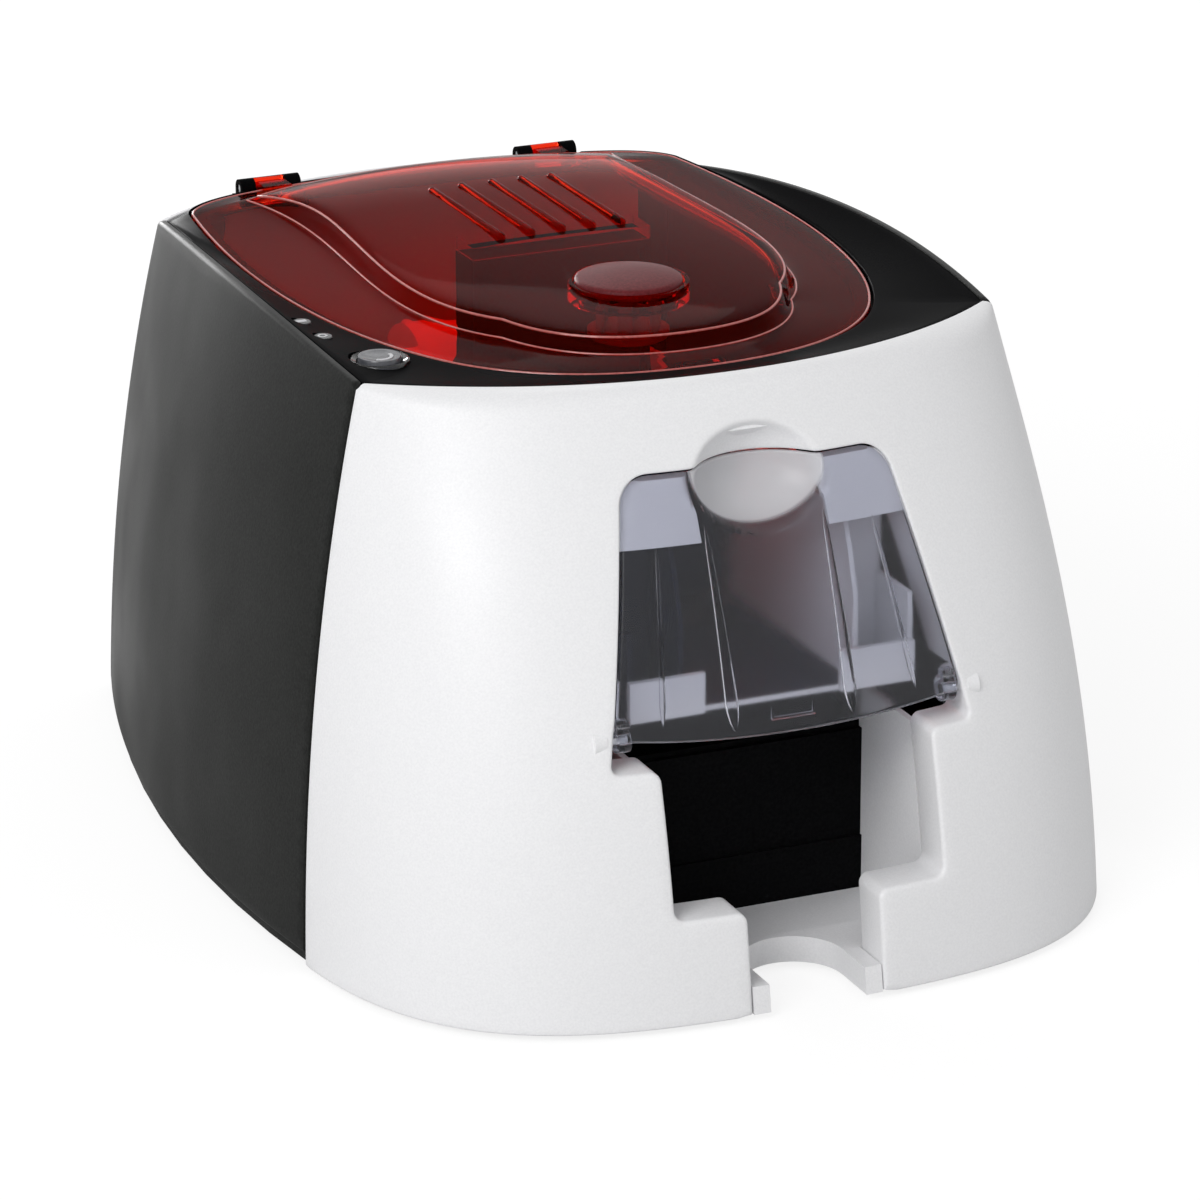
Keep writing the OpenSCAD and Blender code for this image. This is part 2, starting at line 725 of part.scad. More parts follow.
module lid_shell() {
    foot = flange_z + foot_z_rise;
    color(clear_red) place() difference() {
        union() {
            lofted([
                level_loop(0.06, dome_z - lid_t), dome_loop(0.55, lid_t), dome_loop(0.93, lid_t + 1),
                level_loop(0.975, foot - lid_t), edge_loop(0, flange_z - lid_t),
                edge_loop(0, flange_z), level_loop(1.01, foot), dome_loop(0.965, 1),
                dome_loop(0.9, 0.1), dome_loop(0.55, 0), level_loop(0.015, dome_z)
            ]);
            for (x = rib_x) translate([x, rib_y[1], dome_z - 0.3 - 0.001 * x * x])
                rotate([90, 0, 0]) cylinder(h = rib_y[1] - rib_y[0], r = rib_r);
            block([head_boss[0][0], head_boss[0][1], head_top],
                [head_boss[1][0], head_boss[1][1], boss_top]);
            both_sides() {
                translate([0, hinge_y, hinge_z]) rod(knuckle_x[0], knuckle_x[1], knuckle_r);
                block([knuckle_x[0], lid_back_y - 6, flange_z - 1.2],
                    [knuckle_x[1], hinge_y, flange_z + 1.2]);
            }
            block([-8, lid_front_y + 6, flange_z - 9], [8, lid_front_y + 8, flange_z - 1]);
            block([-8, lid_front_y + 4, flange_z - 9], [8, lid_front_y + 8, flange_z - 7.5]);
            translate([pad_spot[0], pad_spot[1], pad_z]) rotate([pad_slope, 0, 0])
                translate([0, 0, pad_seat_z - 2.2 - pad_z])
                cylinder(h = pad_z - pad_seat_z + 1, r = pad_well_r + 1.5);
        }
        both_sides() translate([0, hinge_y, hinge_z])
            rod(knuckle_x[0] - 1, knuckle_x[1] + 1, pin_d / 2 + run_gap);
        translate([pad_spot[0], pad_spot[1], pad_seat_z]) cylinder(h = 30, r = pad_well_r);
        translate([pad_spot[0], pad_spot[1], flange_z - 10]) cylinder(h = 30, r = pad_hole_r);
    }
}
module lid_hinge_pins() {
    color(steel) place() both_sides() translate([0, hinge_y, hinge_z])
        rod(knuckle_x[0] - outer_lug, knuckle_x[1] + outer_lug, pin_d / 2);
}
pad_top = 3.4;
pad_ball_r = 62;
module release_pad() {
    color(clear_red) place() translate([pad_spot[0], pad_spot[1], pad_z]) {
        intersection() {
            translate([0, 0, -pad_under]) cylinder(h = pad_under + pad_top, d = pad_d);
            translate([0, 0, pad_top - pad_ball_r]) sphere(r = pad_ball_r);
        }
        for (a = [45 : 90 : 315]) rotate([0, 0, a]) translate([pad_d / 2 - 5.5, 0, -16])
            cylinder(h = 15, r1 = 1.2, r2 = 2.2);
        translate([0, 0, -16 - 1.5]) cylinder(h = 2, r = pad_d / 2 - 4);
    }
}
module latch_catch() {
    color(steel) place() {
        block([-10, lid_front_y - 3, flange_z - 10], [10, lid_front_y + 2.6, flange_z - 6.6]);
        both_sides() block([10, lid_front_y - 3, flange_z - 10], [12.5, lid_front_y + 4,
            flange_z - lid_t - slack - 1]);
    }
}

// ---- tray, feeder and door ----

tray_wall_x = mouth_half + 0.7;
tray_t = 2;
tray_top = feeder_z - 3;
exit_z = 61;
back_wall_t = 2;
notch_y = 17.3;
tongue_y = notch_y + notch_r + 2;
tongue_top = floor_z + 4.5;
tray_floor_y = front_y(floor_z) + return_deep + 1;

module card_tray() {
    low = floor_z + tray_t;
    color(white_plastic) place() difference() {
        union() {
            side_plate(-tray_wall_x - tray_t, tray_wall_x + tray_t, [
                [tray_floor_y, floor_z], [tray_depth, floor_z], [tray_depth, low],
                [tray_depth - back_wall_t - 2, low], [tongue_y, tongue_top],
                [tray_floor_y, tongue_top]
            ]);
            intersection() {
                front_skin(0.4, tongue_y + 5, 0.35, skirt_z + slack, 12, 3);
                block([-finger_half + 0.4, -5, skirt_z], [finger_half - 0.4, tongue_y, tongue_top]);
            }
            both_sides() side_plate(tray_wall_x, tray_wall_x + tray_t, concat(
                [[tray_depth, tray_top], [tray_depth, floor_z]],
                [for (i = [0 : 5]) let (z = mix(floor_z, tray_top, i / 5))
                    [behind_front(z, return_deep - wall + 0.5), z]]
            ));
        }
        translate([0, notch_y, -1]) cylinder(h = tongue_top + 2, r = notch_r);
        block([-notch_r, -5, -1], [notch_r, notch_y, tongue_top + 1]);
    }
}
module tray_back_wall() {
    low = floor_z + tray_t;
    color(satin_black) place() {
        block([-tray_wall_x, tray_depth - back_wall_t, low], [tray_wall_x, tray_depth, exit_z - 1.5]);
        block([-tray_wall_x, tray_depth - back_wall_t - 1, low], [tray_wall_x, tray_depth, 25]);
        both_sides() block([plate_x - 10, tray_depth, low], [plate_x, tray_depth + 1.5, exit_z - 4]);
    }
}

chassis_y0 = tray_depth + 4;
chassis_y1 = body_l - 83;
hopper_front = 36;
hopper_back = hopper_front + card_l + 2 * card_gap;
hopper_floor = path_z - 1.5;
guide_x = card_w / 2 + card_gap;
guide_top = path_z + 50;
gate_x = 22;
gate_top = path_z + 9.5;
gate_t = 1.8;
hopper_t = 1.5;
hopper_half = plate_x;

// Side view of a guide whose front edge follows the door, from z0 to z1
function guide_outline(y0, z0, z1) = concat(
    [[hopper_back + hopper_t, z1], [hopper_back + hopper_t, z0]],
    [for (i = [0 : 4]) let (z = mix(z0, z1, i / 4)) [max(y0, front_y(z) + door_t + 7), z]]
);
module feeder_hopper() {
    low = hopper_floor - hopper_t;
    color(white_plastic) place() difference() {
        union() {
            block([-hopper_half, hopper_front, low], [hopper_half, hopper_back + hopper_t,
                hopper_floor]);
            both_sides() {
                side_plate(guide_x, guide_x + hopper_t, guide_outline(hopper_front + 2,
                    hopper_floor - tiny, guide_top));
                block([gate_x, hopper_front - gate_t, low], [hopper_half, hopper_front + tiny,
                    gate_top]);
                block([guide_x, hopper_front + 22, hopper_floor - tiny], [hopper_half,
                    hopper_front + 24, guide_top]);
                side_plate(hopper_half - hopper_t, hopper_half, guide_outline(hopper_front,
                    low, gate_top + 14.5));
            }
            block([-guide_x - 1, hopper_back, path_z + 1.6 * card_t],
                [guide_x + 1, hopper_back + hopper_t, guide_top]);
        }
        block([-platen_half - 2, pick_y - platen_r - 2, low - 1],
            [platen_half + 2, hopper_back + hopper_t + 1, hopper_floor + 1]);
        both_sides() translate([0, pick_axis[0], pick_axis[1]])
            rod(hopper_half - hopper_t - slack, plate_x + 1, bush_r + 1.2 + slack);
    }
}

module door_slab(d0, d1) {
    intersection() {
        front_skin(d0, d1, 0.5, feeder_z, 14, 8);
        front_cut(feeder_outline(-door_gap), -10, front_deep);
        block([-100, -10, feeder_z + 6], [100, front_deep, 200]);
    }
}
door_rib_x = [[-39.5, -34], [-19, -19], [19, 19], [39.5, 34]];
rib_z = [feeder_z + 11, stop_z[0] - 3.3];
module feeder_door() {
    color(frosted) place() difference() {
        union() {
            difference() {
                door_slab(0, door_t);
                scoop_ball(scoop_r);
            }
            intersection() {
                scoop_wall(door_t);
                block([-40, 0, 100], [40, front_deep + 20, feeder_top_z - door_gap]);
            }
            intersection() {
                front_skin(door_t - 0.3, door_t + 3, 0.5, feeder_z, 14, 8);
                union() for (x = door_rib_x) front_cut([
                    [x[0] - 0.8, rib_z[0]], [x[0] + 0.8, rib_z[0]], [x[1] + 0.8, rib_z[1]],
                    [x[1] - 0.8, rib_z[1]]
                ], -10, front_deep);
            }
            both_sides() {
                translate([0, pin_y, pin_z]) rod(door_lug_x[0], door_lug_x[1], lug_r);
                intersection() {
                    block([door_lug_x[0], 0, pin_z], [door_lug_x[1], pin_y + 2, pin_z + 6]);
                    front_skin(1, 20, 0.5, feeder_z, 14, 8);
                }
            }
        }
        both_sides() translate([0, pin_y, pin_z])
            rod(door_lug_x[0] - 1, door_lug_x[1] + 1, pin_d / 2 + run_gap);
    }
}
module door_pins() {
    color(steel) place() both_sides() translate([0, pin_y, pin_z])
        rod(door_lug_x[0] + 0.5, door_pin_end, pin_d / 2);
}

// ---- chassis ----

shaft_r = shaft_d / 2;
bush_r = shaft_r + 2;
platen_half = 15;
front_roller_y = platen_y - roller_pitch;
rear_roller_y = platen_y + roller_pitch;
pick_axis = [pick_y, path_z - platen_r];
platen_axis = [platen_y, path_z - platen_r];
front_axis = [front_roller_y, path_z - roller_r];
rear_axis = [rear_roller_y, path_z - roller_r];
pinch_z = path_z + card_t + 0.4 + roller_r;
front_pinch_axis = [front_roller_y, pinch_z];
rear_pinch_axis = [rear_roller_y, pinch_z];
supply_axis = [platen_y + 54, path_z + 36];
takeup_axis = [platen_y - 50.5, path_z + 36];
spool_r = 4;
spool_flange = 2;

gear_m = 1;
roller_teeth = 16;
small_teeth = 12;
long_teeth = 44;
drive_teeth = 18;
takeup_teeth = 24;
function pitch_r(n) = n * gear_m / 2;
function spacing(n1, n2) = pitch_r(n1) + pitch_r(n2) + 0.08;
// The point at distance r1 from a and r2 from b, to the left of the way from a to b
function meet(a, b, r1, r2) = let (
    d = norm(b - a), x = (d * d + r1 * r1 - r2 * r2) / (2 * d), h = sqrt(r1 * r1 - x * x),
    e = (b - a) / d) a + x * e + h * [-e[1], e[0]];
long_axis = meet(front_axis, pick_axis, spacing(roller_teeth, long_teeth),
    spacing(roller_teeth, long_teeth));
front_idler_axis = meet(front_axis, platen_axis, spacing(roller_teeth, small_teeth),
    spacing(roller_teeth, small_teeth));
rear_idler_axis = meet(platen_axis, rear_axis, spacing(roller_teeth, small_teeth),
    spacing(roller_teeth, small_teeth));
drive_axis = platen_axis - [0, spacing(roller_teeth, drive_teeth)];
motor_axis = drive_axis - [0, spacing(drive_teeth, small_teeth)];
ribbon_motor_axis = takeup_axis - [0, spacing(takeup_teeth, small_teeth)];

roller_axes = [pick_axis, front_axis, platen_axis, rear_axis];
stud_axes = [long_axis, front_idler_axis, rear_idler_axis, drive_axis];
stud_r = 2;
motor_side = 35;
motor_shaft_r = 2.5;
ribbon_motor_r = 9.5;
foot_tab = 9;
cross_top = path_z - 30;
plate_top = path_z + 44;
tab_spots = [chassis_y0 + 18, chassis_y0 + 80, chassis_y1 - 24];
chassis_screw_spots = [for (s = [-1, 1]) for (y = tab_spots) [s * (plate_x + plate_t + 5), y]];

plate_outline = [
    [chassis_y0, floor_z], [chassis_y1, floor_z], [chassis_y1, 60], [chassis_y1 - 14, plate_top],
    [chassis_y0 + 52, plate_top], [chassis_y0, 100]
];
module axle_cut(axis, r) {
    translate([0, axis[0], axis[1]]) rod(-plate_x - plate_t - 1, plate_x + plate_t + 1, r);
}
module chassis_plate(left) {
    difference() {
        union() {
            side_plate(plate_x, plate_x + plate_t, plate_outline);
            for (y = tab_spots) block([plate_x, y - foot_tab / 2, floor_z],
                [plate_x + plate_t + foot_tab, y + foot_tab / 2, floor_z + plate_t]);
        }
        for (a = roller_axes) axle_cut(a, bush_r);
        for (a = [front_pinch_axis, rear_pinch_axis]) axle_cut(a, stud_r + run_gap);
        axle_cut(divider_axis, divider_r + run_gap);
        for (a = [supply_axis, takeup_axis]) {
            axle_cut(a, spool_r + slack);
            block([0, a[0] - spool_r - slack, a[1]], [plate_x + 20, a[0] + spool_r + slack, 200]);
        }
        for (y = tab_spots) translate([plate_x + plate_t + 5, y, floor_z - 1])
            cylinder(h = plate_t + 2, r = screw_r);
        if (left) {
            for (a = stud_axes) axle_cut(a, stud_r);
            axle_cut(motor_axis, motor_shaft_r + 1);
            axle_cut(ribbon_motor_axis, 2);
        }
    }
}
module left_chassis_plate() {
    color(steel) place() mirror([1, 0, 0]) chassis_plate(true);
}
module right_chassis_plate() {
    color(steel) place() chassis_plate(false);
}
module rear_cross_plate() {
    color(steel) place() difference() {
        block([-plate_x, chassis_y1 - 6 - plate_t, floor_z], [plate_x, chassis_y1 - 6,
            cross_top]);
        block([21 - plate_x, chassis_y1 - 20, floor_z + 20], [plate_x - 21, chassis_y1,
            cross_top - 13]);
    }
}
module chassis_screws() {
    color(steel) place() for (p = chassis_screw_spots)
        translate([p[0], p[1], floor_z + plate_t]) mirror([0, 0, 1]) {
            cylinder(h = plate_t + base_t, r = screw_r);
            translate([0, 0, -1.6]) cylinder(h = 1.6, r = 3);
        }
}
module shaft_bushes() {
    color(acetal) place() both_sides() for (a = roller_axes) translate([0, a[0], a[1]])
        difference() {
            union() {
                rod(plate_x - 1, plate_x + plate_t, bush_r);
                rod(plate_x - 1, plate_x, bush_r + 1.2);
            }
            rod(plate_x - 3, plate_x + plate_t + 3, shaft_r + run_gap);
        }
}
module idler_studs() {
    color(steel) place() for (a = stud_axes) translate([0, a[0], a[1]]) {
        rod(-gear_x1 - 2, -plate_x, stud_r);
        rod(-gear_x1 - 1.8, -gear_x1 - 0.4, stud_r + 1);
    }
}

// ---- gears ----

gear_x0 = plate_x + plate_t + 1;
gear_x1 = gear_x0 + gear_w;
tooth_share = 0.42;

function gear_outline(n, phase) = let (
    r = pitch_r(n), tip = r + 0.9 * gear_m, root = r - 1.2 * gear_m, p = 360 / n
) [for (i = [0 : n - 1]) let (a = phase + i * p, h = tooth_share * p / 2) each [
    root * [cos(a - h * 1.35), sin(a - h * 1.35)], r * [cos(a - h), sin(a - h)],
    tip * [cos(a - h * 0.45), sin(a - h * 0.45)], tip * [cos(a + h * 0.45), sin(a + h * 0.45)],
    r * [cos(a + h), sin(a + h)], root * [cos(a + h * 1.35), sin(a + h * 1.35)]
]];
function way(a, b) = atan2(b[1] - a[1], b[0] - a[0]);
// Phase of a gear on axis b that meshes with a gear of known phase on axis a
function meshed(a, phase, n, b, n2) = way(a, b) + 180 - (180 - (way(a, b) - phase) * n) / n2;

platen_phase = 0;
drive_phase = meshed(platen_axis, platen_phase, roller_teeth, drive_axis, drive_teeth);
pinion_phase = meshed(drive_axis, drive_phase, drive_teeth, motor_axis, small_teeth);
front_idler_phase = meshed(platen_axis, platen_phase, roller_teeth, front_idler_axis, small_teeth);
rear_idler_phase = meshed(platen_axis, platen_phase, roller_teeth, rear_idler_axis, small_teeth);
front_phase = meshed(front_idler_axis, front_idler_phase, small_teeth, front_axis, roller_teeth);
rear_phase = meshed(rear_idler_axis, rear_idler_phase, small_teeth, rear_axis, roller_teeth);
long_phase = meshed(front_axis, front_phase, roller_teeth, long_axis, long_teeth);
pick_phase = meshed(long_axis, long_phase, long_teeth, pick_axis, roller_teeth);
takeup_phase = 0;
ribbon_phase = meshed(takeup_axis, takeup_phase, takeup_teeth, ribbon_motor_axis, small_teeth);

module gear(axis, teeth, phase, bore) {
    color(acetal) place() translate([0, axis[0], axis[1]]) difference() {
        side_plate(-gear_x1, -gear_x0, gear_outline(teeth, phase));
        rod(-gear_x1 - 1, -gear_x0 + 1, bore);
    }
}
module pick_gear() { gear(pick_axis, roller_teeth, pick_phase, shaft_r); }
module front_roller_gear() { gear(front_axis, roller_teeth, front_phase, shaft_r); }
module platen_gear() { gear(platen_axis, roller_teeth, platen_phase, shaft_r); }
module rear_roller_gear() { gear(rear_axis, roller_teeth, rear_phase, shaft_r); }
module long_idler_gear() { gear(long_axis, long_teeth, long_phase, stud_r + run_gap); }
module front_idler_gear() { gear(front_idler_axis, small_teeth, front_idler_phase, stud_r + run_gap); }
module rear_idler_gear() { gear(rear_idler_axis, small_teeth, rear_idler_phase, stud_r + run_gap); }
module drive_gear() { gear(drive_axis, drive_teeth, drive_phase, stud_r + run_gap); }
module takeup_gear() { gear(takeup_axis, takeup_teeth, takeup_phase, spool_r); }

module motor_pinion() {
    gear(motor_axis, small_teeth, pinion_phase, motor_shaft_r - 0.5);
    color(steel) place() translate([0, motor_axis[0], motor_axis[1]])
        rod(-gear_x1 - 1, -plate_x + 4, motor_shaft_r - 0.5);
}
module ribbon_pinion() {
    gear(ribbon_motor_axis, small_teeth, ribbon_phase, 1.5);
    color(steel) place() translate([0, ribbon_motor_axis[0], ribbon_motor_axis[1]])
        rod(-gear_x1 - 1, -plate_x + 3, 1.5);
}

// ---- rollers and spools ----

module roller(axis, r, half) {
    place() translate([0, axis[0], axis[1]]) {
        color(steel) rod(-gear_x1 - 1, plate_x + plate_t + 1.5, shaft_r);
        color(dark_rubber) rod(-half, half, r);
    }
}
module pick_roller() { roller(pick_axis, platen_r, platen_half); }
module platen_roller() { roller(platen_axis, platen_r, card_w / 2 + 1); }
module front_roller() { roller(front_axis, roller_r, card_w / 2); }
module rear_roller() { roller(rear_axis, roller_r, card_w / 2); }
module pinch_roller(axis) {
    color(dark_rubber) place() translate([0, axis[0], axis[1]]) {
        rod(-plate_x - plate_t, plate_x + plate_t, stud_r);
        rod(-card_w / 2, card_w / 2, roller_r);
    }
}
module front_pinch_roller() { pinch_roller(front_pinch_axis); }
module rear_pinch_roller() { pinch_roller(rear_pinch_axis); }

module spool(axis, full_r, x_left) {
    place() translate([0, axis[0], axis[1]]) {
        color(dark_rubber) rod(-ribbon_w / 2, ribbon_w / 2, full_r);
        color(white_plastic) {
            rod(-x_left, plate_x + plate_t + 1, spool_r);
            for (s = [-ribbon_w / 2 - spool_flange, ribbon_w / 2]) rod(s, s + spool_flange,
                full_r + 1);
        }
    }
}
module ribbon_supply_spool() { spool(supply_axis, supply_r, plate_x + plate_t + 1); }
module ribbon_takeup_spool() { spool(takeup_axis, takeup_r, gear_x1 + 1); }

// ---- card path, motors and electronics ----

module card_table() {
    color(satin_black) place() {
        for (y = [[platen_y + platen_r + 2, rear_roller_y - roller_r - 1.5],
            [front_roller_y + roller_r + 1.5, platen_y - platen_r - 2],
            [rear_roller_y + roller_r + 1.5, chassis_y1 - 16]])
            block([-plate_x, y[0], path_z - 2], [plate_x, y[1], path_z - 0.4]);
    }
}
divider_axis = [hopper_back + 5, path_z - 1.8];
divider_tip = front_roller_y - roller_r - 1.5;
divider_half = card_w / 2 + 1;
divider_r = 1.5;
module card_divider() {
    color(satin_black) place() {
        translate([0, divider_axis[0], divider_axis[1]])
            rod(-plate_x - plate_t, plate_x + plate_t, divider_r);
        side_plate(-divider_half, divider_half, [
            [divider_axis[0], divider_axis[1] - 1], [divider_tip, path_z - 1.4],
            [divider_tip, path_z - 0.4], [divider_axis[0], divider_axis[1] + 1.2]
        ]);
    }
}
chute_t = 1.5;
chute_z = path_z - 2 * platen_r - 3;
chute_end = front_roller_y - roller_r - 7;
module exit_chute() {
    color(satin_black) place() {
        side_plate(-plate_x, plate_x, [
            [tray_depth, exit_z - chute_t], [tray_depth + 8, exit_z - chute_t],
            [pick_y, chute_z - chute_t], [chute_end, path_z - 9 - chute_t],
            [chute_end, path_z - 9], [pick_y, chute_z], [tray_depth + 8, exit_z],
            [tray_depth, exit_z]
        ]);
    }
}
module feed_motor() {
    color(satin_black) place() translate([0, motor_axis[0], motor_axis[1]]) difference() {
        block([-plate_x, -motor_side / 2, -motor_side / 2], [-plate_x + 30, motor_side / 2,
            motor_side / 2]);
        rod(-plate_x - 1, -plate_x + 5, motor_shaft_r - 0.5 + run_gap);
    }
}
module ribbon_motor() {
    color(steel) place() translate([0, ribbon_motor_axis[0], ribbon_motor_axis[1]]) difference() {
        rod(-plate_x, -plate_x + 13, ribbon_motor_r);
        rod(-plate_x - 1, -plate_x + 4, 1.5 + run_gap);
    }
}
board_y = [chassis_y1 + 8, body_l - 24];
board_half = 62;
board_t = 1.6;
module control_board() {
    color([0.1, 0.35, 0.2]) place() {
        block([-board_half, board_y[0], socket_z - board_t], [board_half, board_y[1], socket_z]);
        for (x = [-board_half + 6, board_half - 6]) for (y = [board_y[0] + 6, board_y[1] - 6])
            translate([x, y, floor_z]) cylinder(h = socket_z - board_t - floor_z, r = 3);
        block([8, board_y[0] + 8, socket_z], [22, board_y[0] + 22, socket_z + 2]);
        block([-50, board_y[0] + 10, socket_z], [-42, board_y[0] + 34, socket_z + 7]);
    }
}
module usb_socket() {
    color(steel) place() difference() {
        block([usb_x - usb_size[0] / 2, board_y[1] - 16, socket_z],
            [usb_x + usb_size[0] / 2, rear_face_y + 5, socket_z + usb_size[1]]);
        block([usb_x - usb_size[0] / 2 + 1.5, board_y[1] - 6, socket_z + 1.5],
            [usb_x + usb_size[0] / 2 - 1.5, rear_face_y + 6, socket_z + usb_size[1] - 1.5]);
    }
}
module power_socket() {
    color(satin_black) place() difference() {
        union() {
            translate([power_x, rear_face_y + 4, socket_z + power_r]) rotate([90, 0, 0])
                cylinder(h = 14, r = power_r);
            block([power_x - power_r, board_y[1] - 8, socket_z], [power_x + power_r,
                rear_face_y - 8, socket_z + 2 * power_r]);
        }
        translate([power_x, rear_face_y + 5, socket_z + power_r]) rotate([90, 0, 0])
            cylinder(h = 11, r = 3.2);
    }
}
head_z = path_z + 10;
module head_bracket() {
    color(satin_black) place() {
        block([head_boss[0][0], platen_y + 2, head_z], [head_boss[1][0], platen_y + 4, head_top]);
        block([head_boss[0][0], head_boss[0][1], head_top - 2], [head_boss[1][0], head_boss[1][1],
            head_top]);
        both_sides() block([head_boss[1][0] - 2, head_boss[0][1], head_z], [head_boss[1][0],
            head_boss[1][1], head_top]);
    }
}
head_y = [platen_y - 4, platen_y + 10];
module print_head() {
    color(acetal) place() {
        block([-29, head_y[0], path_z + card_t + 1], [29, head_y[1], head_z]);
        block([-28, platen_y - 2, path_z + card_t + 0.2], [28, platen_y + 2, path_z + card_t + 1]);
    }
}

// ---- what is drawn ----

base_pan();
rubber_feet();
front_cover();
left_side_panel();
right_side_panel();
rear_cover();
top_frame();
card_tray();
tray_back_wall();
feeder_hopper();
left_chassis_plate();
right_chassis_plate();
rear_cross_plate();
exit_chute();
card_table();
shaft_bushes();
control_board();
usb_socket();
power_socket();
feed_motor();
ribbon_motor();
base_screws();
chassis_screws();
button_ring();
status_windows();
latch_catch();
lid_shell();
lid_hinge_pins();
head_bracket();
print_head();
release_pad();
feeder_door();
door_pins();
control_button();
pick_roller();
pick_gear();
front_roller();
front_roller_gear();
platen_roller();
platen_gear();
rear_roller();
rear_roller_gear();
front_pinch_roller();
rear_pinch_roller();
long_idler_gear();
front_idler_gear();
rear_idler_gear();
drive_gear();
motor_pinion();
ribbon_supply_spool();
ribbon_takeup_spool();
takeup_gear();
ribbon_pinion();
idler_studs();
card_divider();
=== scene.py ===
import bpy
import bmesh
import json
import math
import numpy as np
from mathutils import Matrix, Vector
from mathutils.geometry import delaunay_2d_cdt

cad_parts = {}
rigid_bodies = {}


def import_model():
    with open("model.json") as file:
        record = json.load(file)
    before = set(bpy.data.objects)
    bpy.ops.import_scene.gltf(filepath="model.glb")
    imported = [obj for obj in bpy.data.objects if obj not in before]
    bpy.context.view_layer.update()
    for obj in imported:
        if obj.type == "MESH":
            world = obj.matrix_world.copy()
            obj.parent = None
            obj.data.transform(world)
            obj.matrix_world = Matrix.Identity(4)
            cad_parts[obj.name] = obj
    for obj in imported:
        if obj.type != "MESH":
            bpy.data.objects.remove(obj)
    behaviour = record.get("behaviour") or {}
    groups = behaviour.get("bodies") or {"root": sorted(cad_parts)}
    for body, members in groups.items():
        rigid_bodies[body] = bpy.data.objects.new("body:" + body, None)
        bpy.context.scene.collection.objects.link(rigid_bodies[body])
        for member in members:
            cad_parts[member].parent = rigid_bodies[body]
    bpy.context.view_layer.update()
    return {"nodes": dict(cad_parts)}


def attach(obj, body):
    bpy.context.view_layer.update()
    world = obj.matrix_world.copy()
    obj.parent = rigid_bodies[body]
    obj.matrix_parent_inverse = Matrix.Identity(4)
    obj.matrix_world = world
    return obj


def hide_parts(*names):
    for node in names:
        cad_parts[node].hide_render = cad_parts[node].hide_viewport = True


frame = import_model()
print("frame loaded with", len(frame["nodes"]), "nodes")

# The covers follow one set of curves. Lengths are in millimetres, x across, y back from the
# front edge of the body, z up; toWorld() turns them into metres about the middle of the footprint.
shape = {
    "width": 264, "length": 375, "rimHeight": 181, "rimWidth": 212, "bellyY": 156,
    "sideRadius": 526, "rimSideRadius": 700, "rimArchRadius": 700, "rimTopY": 178,
    "frontLean": 55.5, "ridgeHeight": 172, "rearRidge": 169, "skirt": 2, "wall": 2.5,
    "seam": 0.5, "frontSeamY": 88, "rearSeamY": 340, "frontRimY": 100, "rearRimY": 311,
    "frontFlat": 62, "frontTurn": 9, "crestRise": 6, "crestBack": 6.5, "rearTuck": 36,
    "rearRound": 8, "rearCorner": 15, "bulge": 2.1,
}
nudge = 0.02  # step along a curve for its direction


def toWorld(p):
    return (p[0] * 0.001, (p[1] - shape["length"] / 2) * 0.001, p[2] * 0.001)


def mix(a, b, k):
    return a + (b - a) * k


def steps(a, b, count):
    return [mix(a, b, i / count) for i in range(count + 1)]


def ease(k):
    k = min(1, max(0, k))
    return k * k * (3 - 2 * k)


def bezier(p, t):
    s = 1 - t
    w = (s * s * s, 3 * s * s * t, 3 * s * t * t, t * t * t)
    return (sum(w[i] * p[i][0] for i in range(4)), sum(w[i] * p[i][1] for i in range(4)))


def baseX(y):
    return shape["width"] / 2 - (y - shape["bellyY"]) ** 2 / (2 * shape["sideRadius"])


def rimX(y):
    return shape["rimWidth"] / 2 - (y - shape["bellyY"]) ** 2 / (2 * shape["rimSideRadius"])


def rimZ(y):
    return shape["rimHeight"] - (y - shape["rimTopY"]) ** 2 / (2 * shape["rimArchRadius"])


ridgeY, crestY = shape["frontLean"], shape["frontLean"] + shape["crestBack"]
backY, tuckY = shape["length"], shape["length"] - shape["rearTuck"]
frontFoot = (baseX(shape["frontSeamY"]), shape["frontSeamY"])
frontRim = (rimX(shape["frontRimY"]), shape["frontRimY"])
rearFoot = (baseX(shape["rearSeamY"]), shape["rearSeamY"])
rearRim = (rimX(shape["rearRimY"]), shape["rearRimY"])
frontBase = [(0, 0), (shape["frontFlat"], 0), (frontFoot[0] - shape["frontTurn"], 4), frontFoot]
frontRidge = [(0, ridgeY), (50, ridgeY), (88, ridgeY + 10.5), frontRim]
frontCrest = [(0, crestY), (46, crestY), (80, ridgeY + 23), frontRim]
rearBase = [rearFoot, (rearFoot[0] - shape["rearRound"], backY - 8), (50, backY), (0, backY)]
rearTop = [rearRim, (rearRim[0] - shape["rearCorner"], rearRim[1] + 14), (38, tuckY), (0, tuckY)]


# u runs from the middle of the front (0) past the front seam (1) and the rear seam (2) to the
# middle of the back (3); v is u on the right half and 6 - u or -u on the left half
def halfOf(v):
    return 6 - v if v > 3 else abs(v)


def sideOf(v):
    return -1 if v > 3 or v < 0 else 1


def baseCurve(u):
    if u <= 1:
        return bezier(frontBase, u)
    if u <= 2:
        y = mix(frontFoot[1], rearFoot[1], u - 1)
        return (baseX(y), y)
    return bezier(rearBase, u - 2)


def topCurve(u, front=frontRidge):
    if u <= 1:
        return bezier(front, u)
    if u <= 2:
        y = mix(frontRim[1], rearRim[1], u - 1)
        return (rimX(y), y)
    return bezier(rearTop, u - 2)


